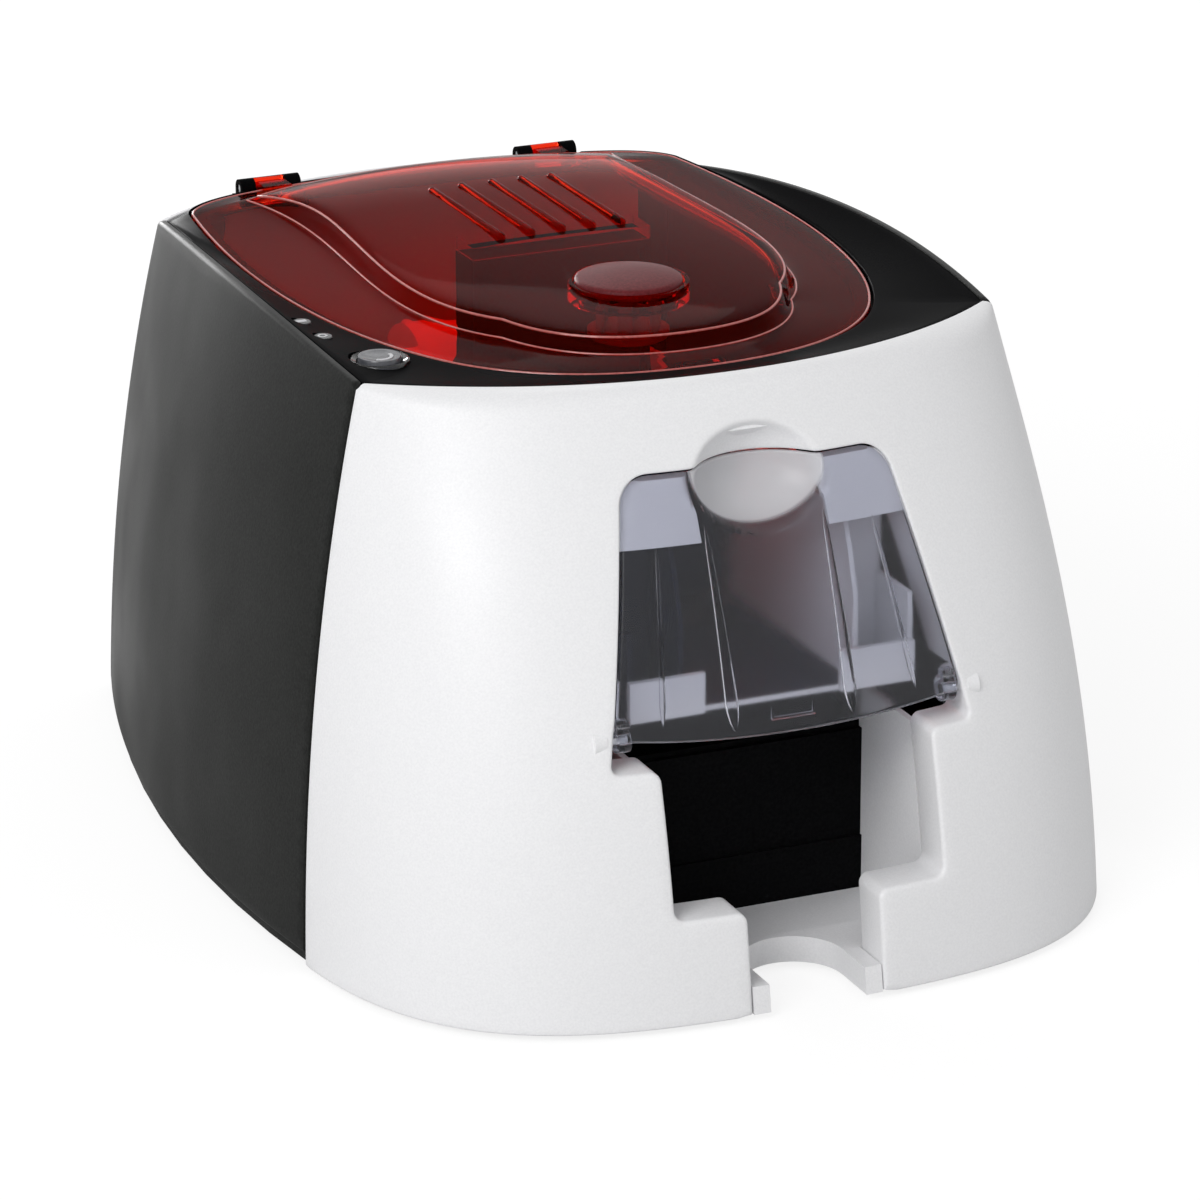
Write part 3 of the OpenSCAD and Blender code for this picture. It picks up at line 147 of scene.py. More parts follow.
def topZ(u, x, y, frontHeight):
    if u <= 1:
        return mix(frontHeight, rimZ(frontRim[1]), (x / frontRim[0]) ** 4)
    if u <= 2:
        return rimZ(y)
    return mix(shape["rearRidge"], rimZ(rearRim[1]), (x / rearRim[0]) ** 4)


def skin(v, t):
    # The outside of the covers, from the foot (t 0) to the ridge (t 1)
    u = halfOf(v)
    b = baseCurve(u)
    c = topCurve(u)
    kx = mix(max(t, 0) ** shape["bulge"], t, 0.12)
    ky = mix(t * t, t, 0.33)
    top = topZ(u, c[0], c[1], shape["ridgeHeight"])
    return Vector((sideOf(v) * mix(b[0], c[0], kx), mix(b[1], c[1], ky),
                   mix(shape["skirt"], top, t)))


def crest(v):
    u = halfOf(v)
    c = topCurve(u, frontCrest)
    rise = shape["ridgeHeight"] + shape["crestRise"]
    return Vector((sideOf(v) * c[0], c[1], topZ(u, c[0], c[1], rise)))


def inward(curve, v):
    # The level direction into the body, square to a curve of v
    d = curve(v + nudge) - curve(v - nudge)
    return Vector((-d.y, d.x, 0)).normalized()


def inside(v, t, depth):
    return skin(v, t) + depth * inward(lambda q: skin(q, t), v)


def crestInside(v, depth):
    return crest(v) + depth * inward(crest, v) - Vector((0, 0, depth * 0.6))


def heightT(v, z):
    return (z - shape["skirt"]) / (skin(v, 1).z - shape["skirt"])


def findV(x, z):
    low, high = 0, 1
    for _ in range(26):
        u = (low + high) / 2
        if skin(u, heightT(u, z)).x < abs(x):
            low = u
        else:
            high = u
    return math.copysign(low, x)


def skinY(x, z):
    v = findV(x, z)
    return skin(v, heightT(v, z)).y


def linked(data, name):
    piece = bpy.data.objects.new(name, data)
    bpy.context.scene.collection.objects.link(piece)
    return piece


def facingOut(bm, mesh):
    bmesh.ops.recalc_face_normals(bm, faces=bm.faces)
    bm.to_mesh(mesh)
    bm.free()
    return mesh


def meshFrom(name, verts, faces, merge=0.004, place=toWorld):
    mesh = bpy.data.meshes.new(name)
    mesh.from_pydata([place(p) for p in verts], [], faces)
    bm = bmesh.new()
    bm.from_mesh(mesh)
    bmesh.ops.remove_doubles(bm, verts=bm.verts, dist=merge * 0.001)
    return facingOut(bm, mesh)


def joinedMesh(name, parts):
    bm = bmesh.new()
    for part in parts:
        bm.from_mesh(part)
    mesh = bpy.data.meshes.new(name)
    bm.to_mesh(mesh)
    bm.free()
    return mesh


def evaluated(piece):
    deps = bpy.context.evaluated_depsgraph_get()
    mesh = bpy.data.meshes.new_from_object(piece.evaluated_get(deps))
    bpy.data.objects.remove(piece)
    return mesh


def carved(mesh, cutters, operation="DIFFERENCE"):
    body = linked(mesh, "carving")
    for cutter in cutters:
        tool = linked(cutter, "cutter")
        tool.hide_render = True
        cut = body.modifiers.new("cut", "BOOLEAN")
        cut.operation = operation
        cut.solver = "EXACT"
        cut.object = tool
    bpy.context.view_layer.update()
    result = evaluated(body)
    for tool in [o for o in bpy.data.objects if o.name.startswith("cutter")]:
        bpy.data.objects.remove(tool)
    return result


def finishPiece(name, mesh, kind, body, nodes, sharp=42):
    # kind is a key of finish; edges sharper than the angle stay sharp
    mesh.name = name
    mesh.polygons.foreach_set("use_smooth", [True] * len(mesh.polygons))
    mesh.set_sharp_from_angle(angle=math.radians(sharp))
    mesh.materials.clear()
    mesh.materials.append(finish[kind])
    piece = linked(mesh, name)
    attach(piece, body)
    if nodes:
        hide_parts(*nodes)


def fillLoop(loop, grid, spacing):
    # Triangles inside a closed loop of flat points, with the grid's points that are clear of it
    ring = np.array([(p[0], p[1]) for p in loop])
    pts = np.array(grid)
    crossing = np.zeros(len(pts), int)
    for a, b in zip(ring, np.roll(ring, -1, axis=0)):
        if a[1] == b[1]:
            continue
        between = (pts[:, 1] > min(a[1], b[1])) & (pts[:, 1] <= max(a[1], b[1]))
        x = a[0] + (pts[:, 1] - a[1]) * (b[0] - a[0]) / (b[1] - a[1])
        crossing += (between & (x > pts[:, 0])).astype(int)
    clear = np.full(len(pts), 1e9)
    for a in ring:
        clear = np.minimum(clear, np.hypot(pts[:, 0] - a[0], pts[:, 1] - a[1]))
    kept = pts[(crossing % 2 == 1) & (clear > 0.55 * spacing)]
    points = [Vector(p) for p in ring] + [Vector(p) for p in kept]
    n = len(ring)
    edges = [(i, (i + 1) % n) for i in range(n)]
    verts, _, faces, origins, _, _ = delaunay_2d_cdt(points, edges, [], 1, 1e-6)
    return verts, faces, [o[0] if o and o[0] < n else -1 for o in origins]


def gridPoints(x0, x1, y0, y1, spacing):
    # Points in staggered rows, which give even triangles
    rows = int((y1 - y0) / (spacing * 0.866))
    cols = int((x1 - x0) / spacing)
    return [(x0 + (i + 0.5 * (j % 2)) * spacing, y0 + j * spacing * 0.866)
            for j in range(rows + 1) for i in range(cols + 1)]


def sheetPair(name, edge, outer, inner, outerGrid, innerGrid, spacing):
    # A closed wall: an outer and an inner sheet joined round the edge. Each entry of edge is
    # (section points, flat place on the outer sheet, flat place on the inner sheet).
    verts = [p for section, _, _ in edge for p in section]
    faces = []
    depth = len(edge[0][0])
    n = len(edge)
    for i in range(n):
        for j in range(depth - 1):
            a, b = i * depth + j, ((i + 1) % n) * depth + j
            faces.append((a, b, b + 1, a + 1))
    for grid, flat, place, column in ((outerGrid, 1, outer, 0), (innerGrid, 2, inner, depth - 1)):
        points, tris, origins = fillLoop([e[flat] for e in edge], grid, spacing)
        index = []
        for p, o in zip(points, origins):
            if o >= 0:
                index.append(o * depth + column)
            else:
                index.append(len(verts))
                verts.append(place(p.x, p.y))
        faces += [tuple(index[k] for k in tri) for tri in tris]
    return meshFrom(name, verts, faces)


def angles(count):
    return [2 * math.pi * i / count for i in range(count)]


def rowFaces(rows, count, closed):
    # Quads between rings of points; closed joins the last ring to the first
    faces = []
    for j in range(rows if closed else rows - 1):
        a, b = j * count, (j + 1) % rows * count
        for i in range(count):
            k = (i + 1) % count
            faces.append((a + i, a + k, b + k, b + i))
    return faces


def loftedLoops(name, loops, capped=True):
    count = len(loops[0])
    verts = [p for loop in loops for p in loop]
    faces = rowFaces(len(loops), count, not capped)
    if capped:
        faces.append(tuple(range(count)))
        faces.append(tuple(len(verts) - 1 - i for i in range(count)))
    return meshFrom(name, verts, faces)


def turned(name, profile, center, count=96):
    # (radius, height) pairs turned round a vertical axis; a ring unless both ends lie on it
    ring = profile[0][0] > 0.01 or profile[-1][0] > 0.01
    verts = [(center[0] + r * math.cos(a), center[1] + r * math.sin(a), h)
             for r, h in profile for a in angles(count)]
    return meshFrom(name, verts, rowFaces(len(profile), count, ring))


def post(name, center, r, z0, z1, count=96):
    return turned(name, [(0, z0), (r, z0), (r, z1), (0, z1)], center, count)


def rodMesh(name, x0, x1, y, z, r, bore=0, count=40):
    # A rod or tube along X
    x0, x1 = sorted((x0, x1))
    profile = [(r, x0), (r, x1), (bore, x1), (bore, x0)]
    if not bore:
        profile = [(0, x0), (r, x0), (r, x1), (0, x1)]
    verts = [(x, y + q * math.cos(a), z + q * math.sin(a))
             for q, x in profile for a in angles(count)]
    return meshFrom(name, verts, rowFaces(4, count, bool(bore)))


def boxMesh(name, low, high, bevel=0.0):
    spans = [sorted((low[0], high[0])), (low[1], high[1]), (low[2], high[2])]
    mesh = bpy.data.meshes.new(name)
    bm = bmesh.new()
    bmesh.ops.create_cube(bm, size=1)
    for vert in bm.verts:
        vert.co = toWorld([mix(*span, c + 0.5) for span, c in zip(spans, vert.co)])
    if bevel:
        bmesh.ops.bevel(bm, geom=bm.edges, offset=bevel * 0.001, segments=3, affect="EDGES")
    return facingOut(bm, mesh)


def curvedSlab(name, xs, zs, near, far):
    # A closed plate between two surfaces given as y over (x, z)
    n = len(xs)
    verts = [(x, f(x, z), z) for f in (near, far) for z in zs for x in xs]
    half = n * len(zs)
    faces = []
    for j in range(len(zs) - 1):
        for i in range(n - 1):
            a = j * n + i
            faces.append((a, a + 1, a + n + 1, a + n))
            faces.append((half + a, half + a + n, half + a + n + 1, half + a + 1))
    rim = list(range(n)) + [j * n + n - 1 for j in range(1, len(zs))]
    rim += [half - 1 - i for i in range(1, n)] + [j * n for j in range(len(zs) - 2, 0, -1)]
    for a, b in zip(rim, rim[1:] + rim[:1]):
        faces.append((a, b, half + b, half + a))
    return meshFrom(name, verts, faces)


def added(tree, kind, inputs, **settings):
    # A new node, whose inputs are given as sockets to link or as plain values
    node = tree.nodes.new(kind)
    for label, value in settings.items():
        setattr(node, label, value)
    fed(tree, node, inputs)
    return node


def fed(tree, node, inputs):
    for label, value in inputs.items():
        if isinstance(value, bpy.types.NodeSocket):
            tree.links.new(value, node.inputs[label])
        else:
            node.inputs[label].default_value = value


def mathNode(tree, operation, a, b):
    return added(tree, "ShaderNodeMath", {0: a, 1: b}, operation=operation).outputs[0]


def material(name, inputs):
    mat = bpy.data.materials.new(name)
    mat.use_nodes = True
    tree = mat.node_tree
    shader = tree.nodes["Principled BSDF"]
    fed(tree, shader, inputs)
    return mat, tree, shader


def objectCoord(tree):
    return added(tree, "ShaderNodeTexCoord", {}).outputs["Object"]


def apart(tree, vector):
    return added(tree, "ShaderNodeSeparateXYZ", {"Vector": vector}).outputs


def grain(tree, shader, scale, strength, distance=0.00005):
    # Fine moulded texture, in object space
    coord = objectCoord(tree)
    noise = added(tree, "ShaderNodeTexNoise", {"Vector": coord, "Scale": scale, "Detail": 3})
    bump = added(tree, "ShaderNodeBump", {"Height": noise.outputs["Fac"], "Strength": strength,
                                          "Distance": distance})
    tree.links.new(bump.outputs["Normal"], shader.inputs["Normal"])
    return coord, noise.outputs["Fac"]


def varied(tree, source, socket, low, high, start=0.35, end=0.65):
    ramp = added(tree, "ShaderNodeMapRange", {"Value": source, "From Min": start, "From Max": end,
                                              "To Min": low, "To Max": high})
    if socket:
        tree.links.new(ramp.outputs["Result"], socket)
    return ramp.outputs["Result"]


def tinted(tree, source, socket, dark, light, start=0.3, end=0.7):
    ramp = added(tree, "ShaderNodeValToRGB", {"Fac": source})
    for stop, position, color in zip(ramp.color_ramp.elements, (start, end), (dark, light)):
        stop.position = position
        stop.color = (*color, 1)
    tree.links.new(ramp.outputs["Color"], socket)


def plastic(name, dark, light, roughness, scale, strength, spread=0.06, specular=0.5):
    mat, tree, shader = material(name, {"Specular IOR Level": specular})
    coord, noise = grain(tree, shader, scale, strength)
    tinted(tree, noise, shader.inputs["Base Color"], dark, light)
    broad = added(tree, "ShaderNodeTexNoise", {"Vector": coord, "Scale": 18})
    varied(tree, broad.outputs["Fac"], shader.inputs["Roughness"], roughness - spread,
           roughness + spread)
    return mat


def metal(name, color, roughness, scale):
    mat, tree, shader = material(name, {"Metallic": 1})
    _, noise = grain(tree, shader, scale, 0.15, 0.00003)
    dark = tuple(c * 0.88 for c in color)
    tinted(tree, noise, shader.inputs["Base Color"], dark, color)
    varied(tree, noise, shader.inputs["Roughness"], roughness - 0.08, roughness + 0.08)
    return mat


def clearPlastic(name, color, roughness, ior, scale, strength, clarity=1):
    mat, tree, shader = material(name, {"Transmission Weight": clarity, "IOR": ior,
                                        "Base Color": (*color, 1)})
    _, noise = grain(tree, shader, scale, strength, 0.00002)
    varied(tree, noise, shader.inputs["Roughness"], roughness * 0.85, roughness * 1.15)
    return mat


def hopperPlastic(name, dark, light, gateTop, gateBack, guide):
    # One moulding, pale on its low gate and its right-hand guide; places in metres
    mat, tree, shader = material(name, {"Specular IOR Level": 0.1})
    coord, noise = grain(tree, shader, 900, 0.1)
    place = apart(tree, coord)
    near = mathNode(tree, "LESS_THAN", place["Y"], gateBack)
    low = mathNode(tree, "LESS_THAN", place["Z"], gateTop)
    gate = mathNode(tree, "MULTIPLY", near, low)
    side = mathNode(tree, "GREATER_THAN", place["X"], guide)
    pale = mathNode(tree, "MAXIMUM", gate, side)
    tinted(tree, pale, shader.inputs["Base Color"], dark, light, 0.4, 0.6)
    varied(tree, noise, shader.inputs["Roughness"], 0.4, 0.5)
    return mat


def frostedPlastic(name, color, cloud, roughness, ior, bowl, flat, reach):
    # Clear plastic, cloudier in its moulded finger bowl; the bowl's middle is in metres
    mat = clearPlastic(name, color, roughness, ior, 1200, 0.03)
    tree = mat.node_tree
    shader = tree.nodes["Principled BSDF"]
    place = apart(tree, objectCoord(tree))
    up = mathNode(tree, "DIVIDE", mathNode(tree, "SUBTRACT", place["Z"], bowl), flat)
    acrossSquare = mathNode(tree, "MULTIPLY", place["X"], place["X"])
    upSquare = mathNode(tree, "MULTIPLY", up, up)
    away = mathNode(tree, "SQRT", mathNode(tree, "ADD", acrossSquare, upSquare), 0)
    rim = reach - 0.001
    varied(tree, away, shader.inputs["Transmission Weight"], 0.45, 0.98, rim, reach)
    edge = varied(tree, away, None, 0, 1, rim, reach)
    tinted(tree, edge, shader.inputs["Base Color"], cloud, color, 0, 1)
    return mat


finish = {
    "white": plastic("whiteShell", (0.80, 0.80, 0.815), (0.86, 0.86, 0.872), 0.42, 1500, 0.10),
    "charcoal": plastic("charcoalShell", (0.004, 0.0043, 0.004), (0.014, 0.0148, 0.0136), 0.40,
                        1150, 0.55, 0.05, 0.09),
    "black": plastic("satinBlack", (0.002, 0.002, 0.0024), (0.004, 0.004, 0.0044), 0.30, 1700,
                     0.12, 0.05, 0.003),
    "innerBlack": plastic("innerBlack", (0.002, 0.002, 0.0025), (0.006, 0.006, 0.0065), 0.5, 900,
                          0.2, 0.06, 0.02),
    "hopper": hopperPlastic("hopperPlastic", (0.005, 0.007, 0.020), (0.8, 0.8, 0.815), 0.0976,
                            -0.1513, 0.0274),
    "rubber": plastic("rubber", (0.012, 0.012, 0.012), (0.03, 0.03, 0.03), 0.8, 1300, 0.4, 0.06,
                      0.1),
    "acetal": plastic("acetal", (0.66, 0.63, 0.54), (0.74, 0.71, 0.62), 0.38, 800, 0.06),
    "steel": metal("brushedSteel", (0.62, 0.63, 0.65), 0.34, 700),
    "board": plastic("circuitBoard", (0.015, 0.09, 0.03), (0.03, 0.16, 0.06), 0.4, 420, 0.3),
    "red": clearPlastic("clearRed", (0.82, 0.03, 0.008), 0.03, 1.05, 260, 0.05, 0.985),
    # painted highlight: a pale pinkish red, lighter than the lid, for the light lines that the
    # lid's edges catch
    "edge": plastic("paintedHighlightEdge", (0.36, 0.07, 0.06), (0.52, 0.125, 0.11), 0.2, 900, 0.05),
    "pad": plastic("redPad", (0.09, 0.010, 0.012), (0.14, 0.018, 0.022), 0.38, 1100, 0.35, 0.06,
                   0.1),
    "door": frostedPlastic("frostedDoor", (0.68, 0.69, 0.75), (0.78, 0.78, 0.81), 0.22, 1.24,
                           0.1545, 0.78, 0.0218),
    "clear": clearPlastic("clearRing", (0.55, 0.56, 0.66), 0.16, 1.45, 900, 0.1),
    "cap": plastic("buttonCap", (0.05, 0.052, 0.06), (0.08, 0.082, 0.095), 0.22, 900, 0.05),
    "mark": plastic("paleMark", (0.5, 0.5, 0.52), (0.6, 0.6, 0.62), 0.4, 900, 0.05),
    "window": plastic("darkWindow", (0.02, 0.02, 0.022), (0.03, 0.03, 0.033), 0.25, 900, 0.05),
}
print("materials ready")


# Edges of the covers: the lap turned in at feet and seams, the roll at the top, and how far
# down the inside the roll meets the wall. A cover is laid out flat to be meshed.
cover = {
    "lap": 0.7, "roll": 1.3, "rollFrom": 0.55, "tall": 175, "meet": 0.97, "foldOut": 2.2,
    "folds": ((2.5, 0.35), (2.5, 1.6), (2.5, 2.6)), "wideFlat": 150, "sideFlat": 252,
    "edgeStep": 2.4, "seamRows": 70, "step": 4, "innerStep": 9,
}
edgeRoll = [(0.7, 0), (0.35, 0.1), (0.1, 0.35), (0, 0.7), (0, 1.0), (0, 1.3), (0, 1.6), (0, 1.9),
            (0.2, 2.3), (0.7, 2.5)]
seamSpan = shape["rearSeamY"] - shape["frontSeamY"]


def rollAt(v):
    return ease((halfOf(v) - cover["rollFrom"]) / (1 - cover["rollFrom"]))


def crestSection(v):
    # Rolls from the skin over the top edge and down inside the wall
    w = rollAt(v)
    low = 1 - cover["roll"] * w / cover["tall"]
    start = skin(v, low)
    slope = start - skin(v, low - nudge)
    way = inward(crest, v)
    top = crest(v)
    end = top + way * cover["roll"] * w
    knee = start + slope * ((end.z - start.z) / slope.z)
    roll = [start]
    for k in (0.25, 0.5, 0.75, 1):
        roll.append((1 - k) ** 2 * start + 2 * k * (1 - k) * knee + k * k * end)
    roll.append(top + way * cover["foldOut"])
    roll += [top + way * d - Vector((0, 0, drop)) for d, drop in cover["folds"]]
    roll.append(inside(v, cover["meet"], shape["wall"]))
    return roll, (v, low), (v, cover["meet"])


def footSection(v, z0):
    roll = [inside(v, heightT(v, z0 + h), d) for h, d in edgeRoll]
    flat = (v, heightT(v, z0 + cover["lap"]))
    return roll, flat, flat


def seamSection(v, t, turn):
    roll = [inside(v + turn * s / seamSpan, t, d) for s, d in edgeRoll]
    flat = (v + turn * cover["lap"] / seamSpan, t)
    return roll, flat, flat


def coverEdge(v0, v1, z0, stepV, gap=None):
    # Sections round a cover, from v0 along the foot to v1, up, back over the top and down.
    # gap holds (sections of an opening in the foot, v where it starts, v where it ends).
    def along(a, b):
        count = max(2, round(abs(b - a) / stepV))
        return [mix(a, b, (i + 0.5) / count) for i in range(count)]

    def seam(v, turn):
        low = heightT(v, z0 + cover["lap"])
        high = 1 - cover["roll"] * rollAt(v) / cover["tall"]
        return [seamSection(v, t, turn) for t in steps(low, high, cover["seamRows"])]

    lap = cover["lap"] / seamSpan
    sections = [footSection(v, z0) for v in along(gap[2] if gap else v0, v1)]
    sections += seam(v1, -1)
    sections += [crestSection(v) for v in along(v1 - lap, v0 + lap)]
    sections += seam(v0, 1)[::-1]
    if gap:
        sections += [footSection(v, z0) for v in along(v0, gap[1])] + gap[0]
    return sections


def coverMesh(name, v0, v1, z0, outerStep=cover["step"], innerStep=cover["innerStep"], gap=None,
              face=skin, extra=()):
    # extra holds (test for places with a finer grid, the finer grid)
    wide = cover["wideFlat"] if v1 - v0 > 1.5 or v0 < 0 else cover["sideFlat"]
    tall = cover["tall"]
    center = (v0 + v1) / 2
    half = (v1 - v0) / 2 * wide

    def flat(p):
        return ((p[0] - center) * wide, p[1] * tall)

    edge = [(section, flat(a), flat(b))
            for section, a, b in coverEdge(v0, v1, z0, cover["edgeStep"] / wide, gap)]
    outerGrid = gridPoints(-half, half, 0, tall, outerStep)
    if extra:
        outerGrid = [p for p in outerGrid if not extra[0](p)] + extra[1]
    return sheetPair(name, edge, lambda x, y: face(x / wide + center, y / tall),
                     lambda x, y: inside(x / wide + center, y / tall, shape["wall"]),
                     outerGrid, gridPoints(-half, half, 0, tall, innerStep), outerStep * 0.9)


seamCut = shape["seam"] / seamSpan / 2

# Reaches are (half across, lowest, highest); the lug's foot is (half along, lowest, highest)
front = {
    "step": 2.6, "innerStep": 6, "fineStep": 0.9,
    "fingerHalf": 21.3, "mouthHalf": 43.5, "stepZ": 33, "placeZ": 76, "placeHalf": 58,
    "placeTopHalf": 34, "placeTopZ": 155.5, "cornerRadius": 10, "mouthCorner": 3.2,
    "placeCorner": 2.2, "lip": 1.4, "placeLip": 0.9, "mouthDeep": 15, "placeDeep": 4.6,
    "lipTurnZ": 86, "scoopZ": 151, "scoopOut": 11.1, "scoopRise": 3.5, "scoopRadius": 24,
    "scoopFlat": 0.78, "scoopRim": 1.6, "scoopReach": (26, 128, 176), "fineReach": (25, 148, 171),
    "liningFoot": 84.6, "liningZ": 90, "liningOut": 0.5, "liningWall": 1.6, "liningNear": 3.4,
    "liningDeep": 20, "lugs": (58.2, 62), "lugRadius": 4, "lugBore": 1.5,
    "lugFoot": (3.6, 74.2, 81.6), "pinZ": 84.5, "pinBack": 8.5, "stops": (20.5, 46),
    "stopZ": (135.3, 153), "stopDeep": (2.85, 4.55), "tabs": ((64, 16, 6), (76, 21, 18)),
}
scoopCenterY = skinY(0, front["scoopZ"]) - front["scoopOut"]
scoopCenterZ = front["scoopZ"] + front["scoopRise"]
pinY = skinY(0, front["pinZ"]) + front["pinBack"]


def scoopY(x, z, r):
    q = r * r - x * x - ((z - scoopCenterZ) / front["scoopFlat"]) ** 2
    return scoopCenterY + math.sqrt(q) if q > 0 else -1000


def faceY(x, z, y=None):
    # The finger scoop sinks the face, with a rounded rim
    y = skinY(x, z) if y is None else y
    half, low, high = front["scoopReach"]
    if abs(x) > half or not low < z < high:
        return y
    b = scoopY(x, z, front["scoopRadius"])
    rim = front["scoopRim"]
    h = max(rim - abs(y - b), 0) / rim
    return max(y, b) + h * h * rim * 0.25


def frontFace(v, t):
    p = skin(v, t)
    return Vector((p.x, faceY(p.x, p.z, p.y), p.z))


def roundedPath(corners, step):
    # corners are (x, z, radius); straight runs and corner arcs are sampled evenly
    path = []
    for i, (x, z, r) in enumerate(corners):
        p = Vector((x, z))
        if r == 0 or i in (0, len(corners) - 1):
            path.append(p)
            continue
        a = (Vector(corners[i - 1][:2]) - p).normalized()
        b = (Vector(corners[i + 1][:2]) - p).normalized()
        half = a.angle(b) / 2
        middle = p + (a + b).normalized() * r / math.sin(half)
        start = p + a * r / math.tan(half) - middle
        end = p + b * r / math.tan(half) - middle
        sweep = start.angle_signed(end)
        count = max(4, round(abs(sweep) * r / 0.7))
        for j in range(count + 1):
            path.append(middle + Matrix.Rotation(-sweep * j / count, 2) @ start)
    dense = []
    for a, b in zip(path, path[1:]):
        count = max(1, round((b - a).length / step))
        dense += [a.lerp(b, j / count) for j in range(count)]
    return dense + [path[-1]]


def mirrored(path):
    return [Vector((-p.x, p.y)) for p in reversed(path)]


def placeSide(g, lowZ):
    # Right half of the door's place, grown by g, from the foot to the middle of the top
    r = front["cornerRadius"] + g
    cx = front["placeTopHalf"]
    cz = front["placeTopZ"] - front["cornerRadius"]
    arc = [(cx + r * math.cos(math.radians(a)), cz + r * math.sin(math.radians(a)))
           for a in [14 + 76 * i / 22 for i in range(23)]]
    lean = (arc[0][0] - (front["placeHalf"] + g)) / (arc[0][1] - front["placeZ"])
    foot = (front["placeHalf"] + g + lean * (lowZ - front["placeZ"]), lowZ)
    return foot, arc


def openingPath():
    foot, arc = placeSide(0, front["placeZ"])
    r = front["mouthCorner"]
    corners = [(front["fingerHalf"], shape["skirt"] + cover["lap"], 0),
               (front["fingerHalf"], front["stepZ"], r), (front["mouthHalf"], front["stepZ"], r),
               (front["mouthHalf"], front["placeZ"], r), (*foot, front["placeCorner"])]
    corners += [(x, z, 0) for x, z in arc] + [(0, front["placeTopZ"], 0)]
    right = roundedPath(corners, 1.6)
    return right + mirrored(right[:-1])


def openingSections():
    path = openingPath()
    last = len(path) - 1
    sections = []
    for i, p in enumerate(path):
        way = path[min(i + 1, last)] - path[max(i - 1, 0)]
        n = Vector((way.y, -way.x)).normalized()  # to the right of the way
        k = ease((p.y - front["lipTurnZ"]) / 6)
        deep = mix(front["mouthDeep"], front["placeDeep"], k)
        r = mix(front["lip"], front["placeLip"], k)
        rolls = [(r, 0), (r * 0.5, r * 0.134), (r * 0.134, r * 0.5), (0, r), (0, deep - 0.9),
                 (0.25, deep - 0.25), (0.9, deep), (1.6, deep - 0.2), (1.9, deep - 0.9), (2, 2.5)]
        roll = []
        for g, d in rolls:
            x, z = p.x + n.x * g, p.y + n.y * g
            roll.append(Vector((x, faceY(x, z) + d, z)))
        flats = []
        for g in (r, 2):
            x, z = p.x + n.x * g, p.y + n.y * g
            v = findV(x, z)
            flats.append((v, heightT(v, z)))
        sections.append((roll, *flats))
    return sections[::-1]  # from the left foot over to the right foot


def nearScoop(p):
    # Whether a flat place lies where the front's grid is finer
    q = skin(p[0] / cover["wideFlat"], p[1] / cover["tall"])
    half, low, high = front["fineReach"]
    return abs(q.x) < half and low < q.z < high


def stopY(x, z, depth):
    # Flanges behind the door stay clear of its bowl
    bowl = scoopY(x, z, front["scoopRadius"] + 3.2) + depth - front["stopDeep"][0]
    return max(skinY(x, z) + depth, bowl)


def doorLining(s):
    # A thin wall behind the doorway's sloping side
    foot, arc = placeSide(0, front["liningFoot"])
    thick, near, deep = front["liningWall"], front["liningNear"], front["liningDeep"]
    loops = []
    for z in steps(front["liningZ"], arc[0][1], 24):
        x = mix(foot[0], arc[0][0], (z - foot[1]) / (arc[0][1] - foot[1])) + front["liningOut"]
        y = skinY(x, z)
        loops.append([Vector((s * (x + dx), y + dy, z))
                      for dx, dy in ((0, near), (thick, near), (thick, deep), (0, deep))])
    return loftedLoops("doorLining", loops)


def tabMesh(s, corners):
    return boxMesh("tab", *sorted((s * x, y, z) for x, y, z in corners), 0.4)


def makeFrontCover():
    v1 = 1 - seamCut
    footV = findV(front["fingerHalf"] + front["lip"] + 1.5, shape["skirt"] + cover["lap"])
    gap = (openingSections(), -footV, footV)
    fine = [p for p in gridPoints(-30, 30, 145, cover["tall"], front["fineStep"]) if nearScoop(p)]
    parts = [coverMesh("frontCover", -v1, v1, shape["skirt"], front["step"], front["innerStep"],
                       gap, frontFace, (nearScoop, fine))]
    reach, low, high = front["lugFoot"]
    near, far = front["stopDeep"]
    for s in (-1, 1):
        x0, x1 = [s * x for x in front["lugs"]]
        parts.append(rodMesh("coverLug", x0, x1, pinY, front["pinZ"], front["lugRadius"],
                             front["lugBore"]))
        parts.append(boxMesh("lugFoot", (x0, pinY - reach, low), (x1, pinY + reach, high), 0.5))
        xs = [s * x for x in steps(*front["stops"], 17)]
        parts.append(curvedSlab("doorStop", xs, steps(*front["stopZ"], 15),
                                lambda x, z: stopY(x, z, near), lambda x, z: stopY(x, z, far)))
        parts.append(doorLining(s))
        parts.append(tabMesh(s, front["tabs"]))
    finishPiece("frontCoverShell", joinedMesh("frontCover", parts), "white", "printer",
                ["front_cover"])


sidePanel = {"foot": 6}


def makeSidePanels():
    for side, v0 in (("right", 1), ("left", 4)):
        mesh = coverMesh(side, v0 + seamCut, v0 + 1 - seamCut, sidePanel["foot"])
        finishPiece(side + "SideShell", mesh, "charcoal", "printer", [side + "_side_panel"])


# usb is (left, right, lowest, highest), power is (across, up, radius)
rearCover = {
    "usb": (-34.3, -21.7, 13.7, 25.3), "power": (30, 19.5, 5.8), "cut": (350, 390),
    "tabs": ((46, 358.5, 6), (58, 363, 18)),
}


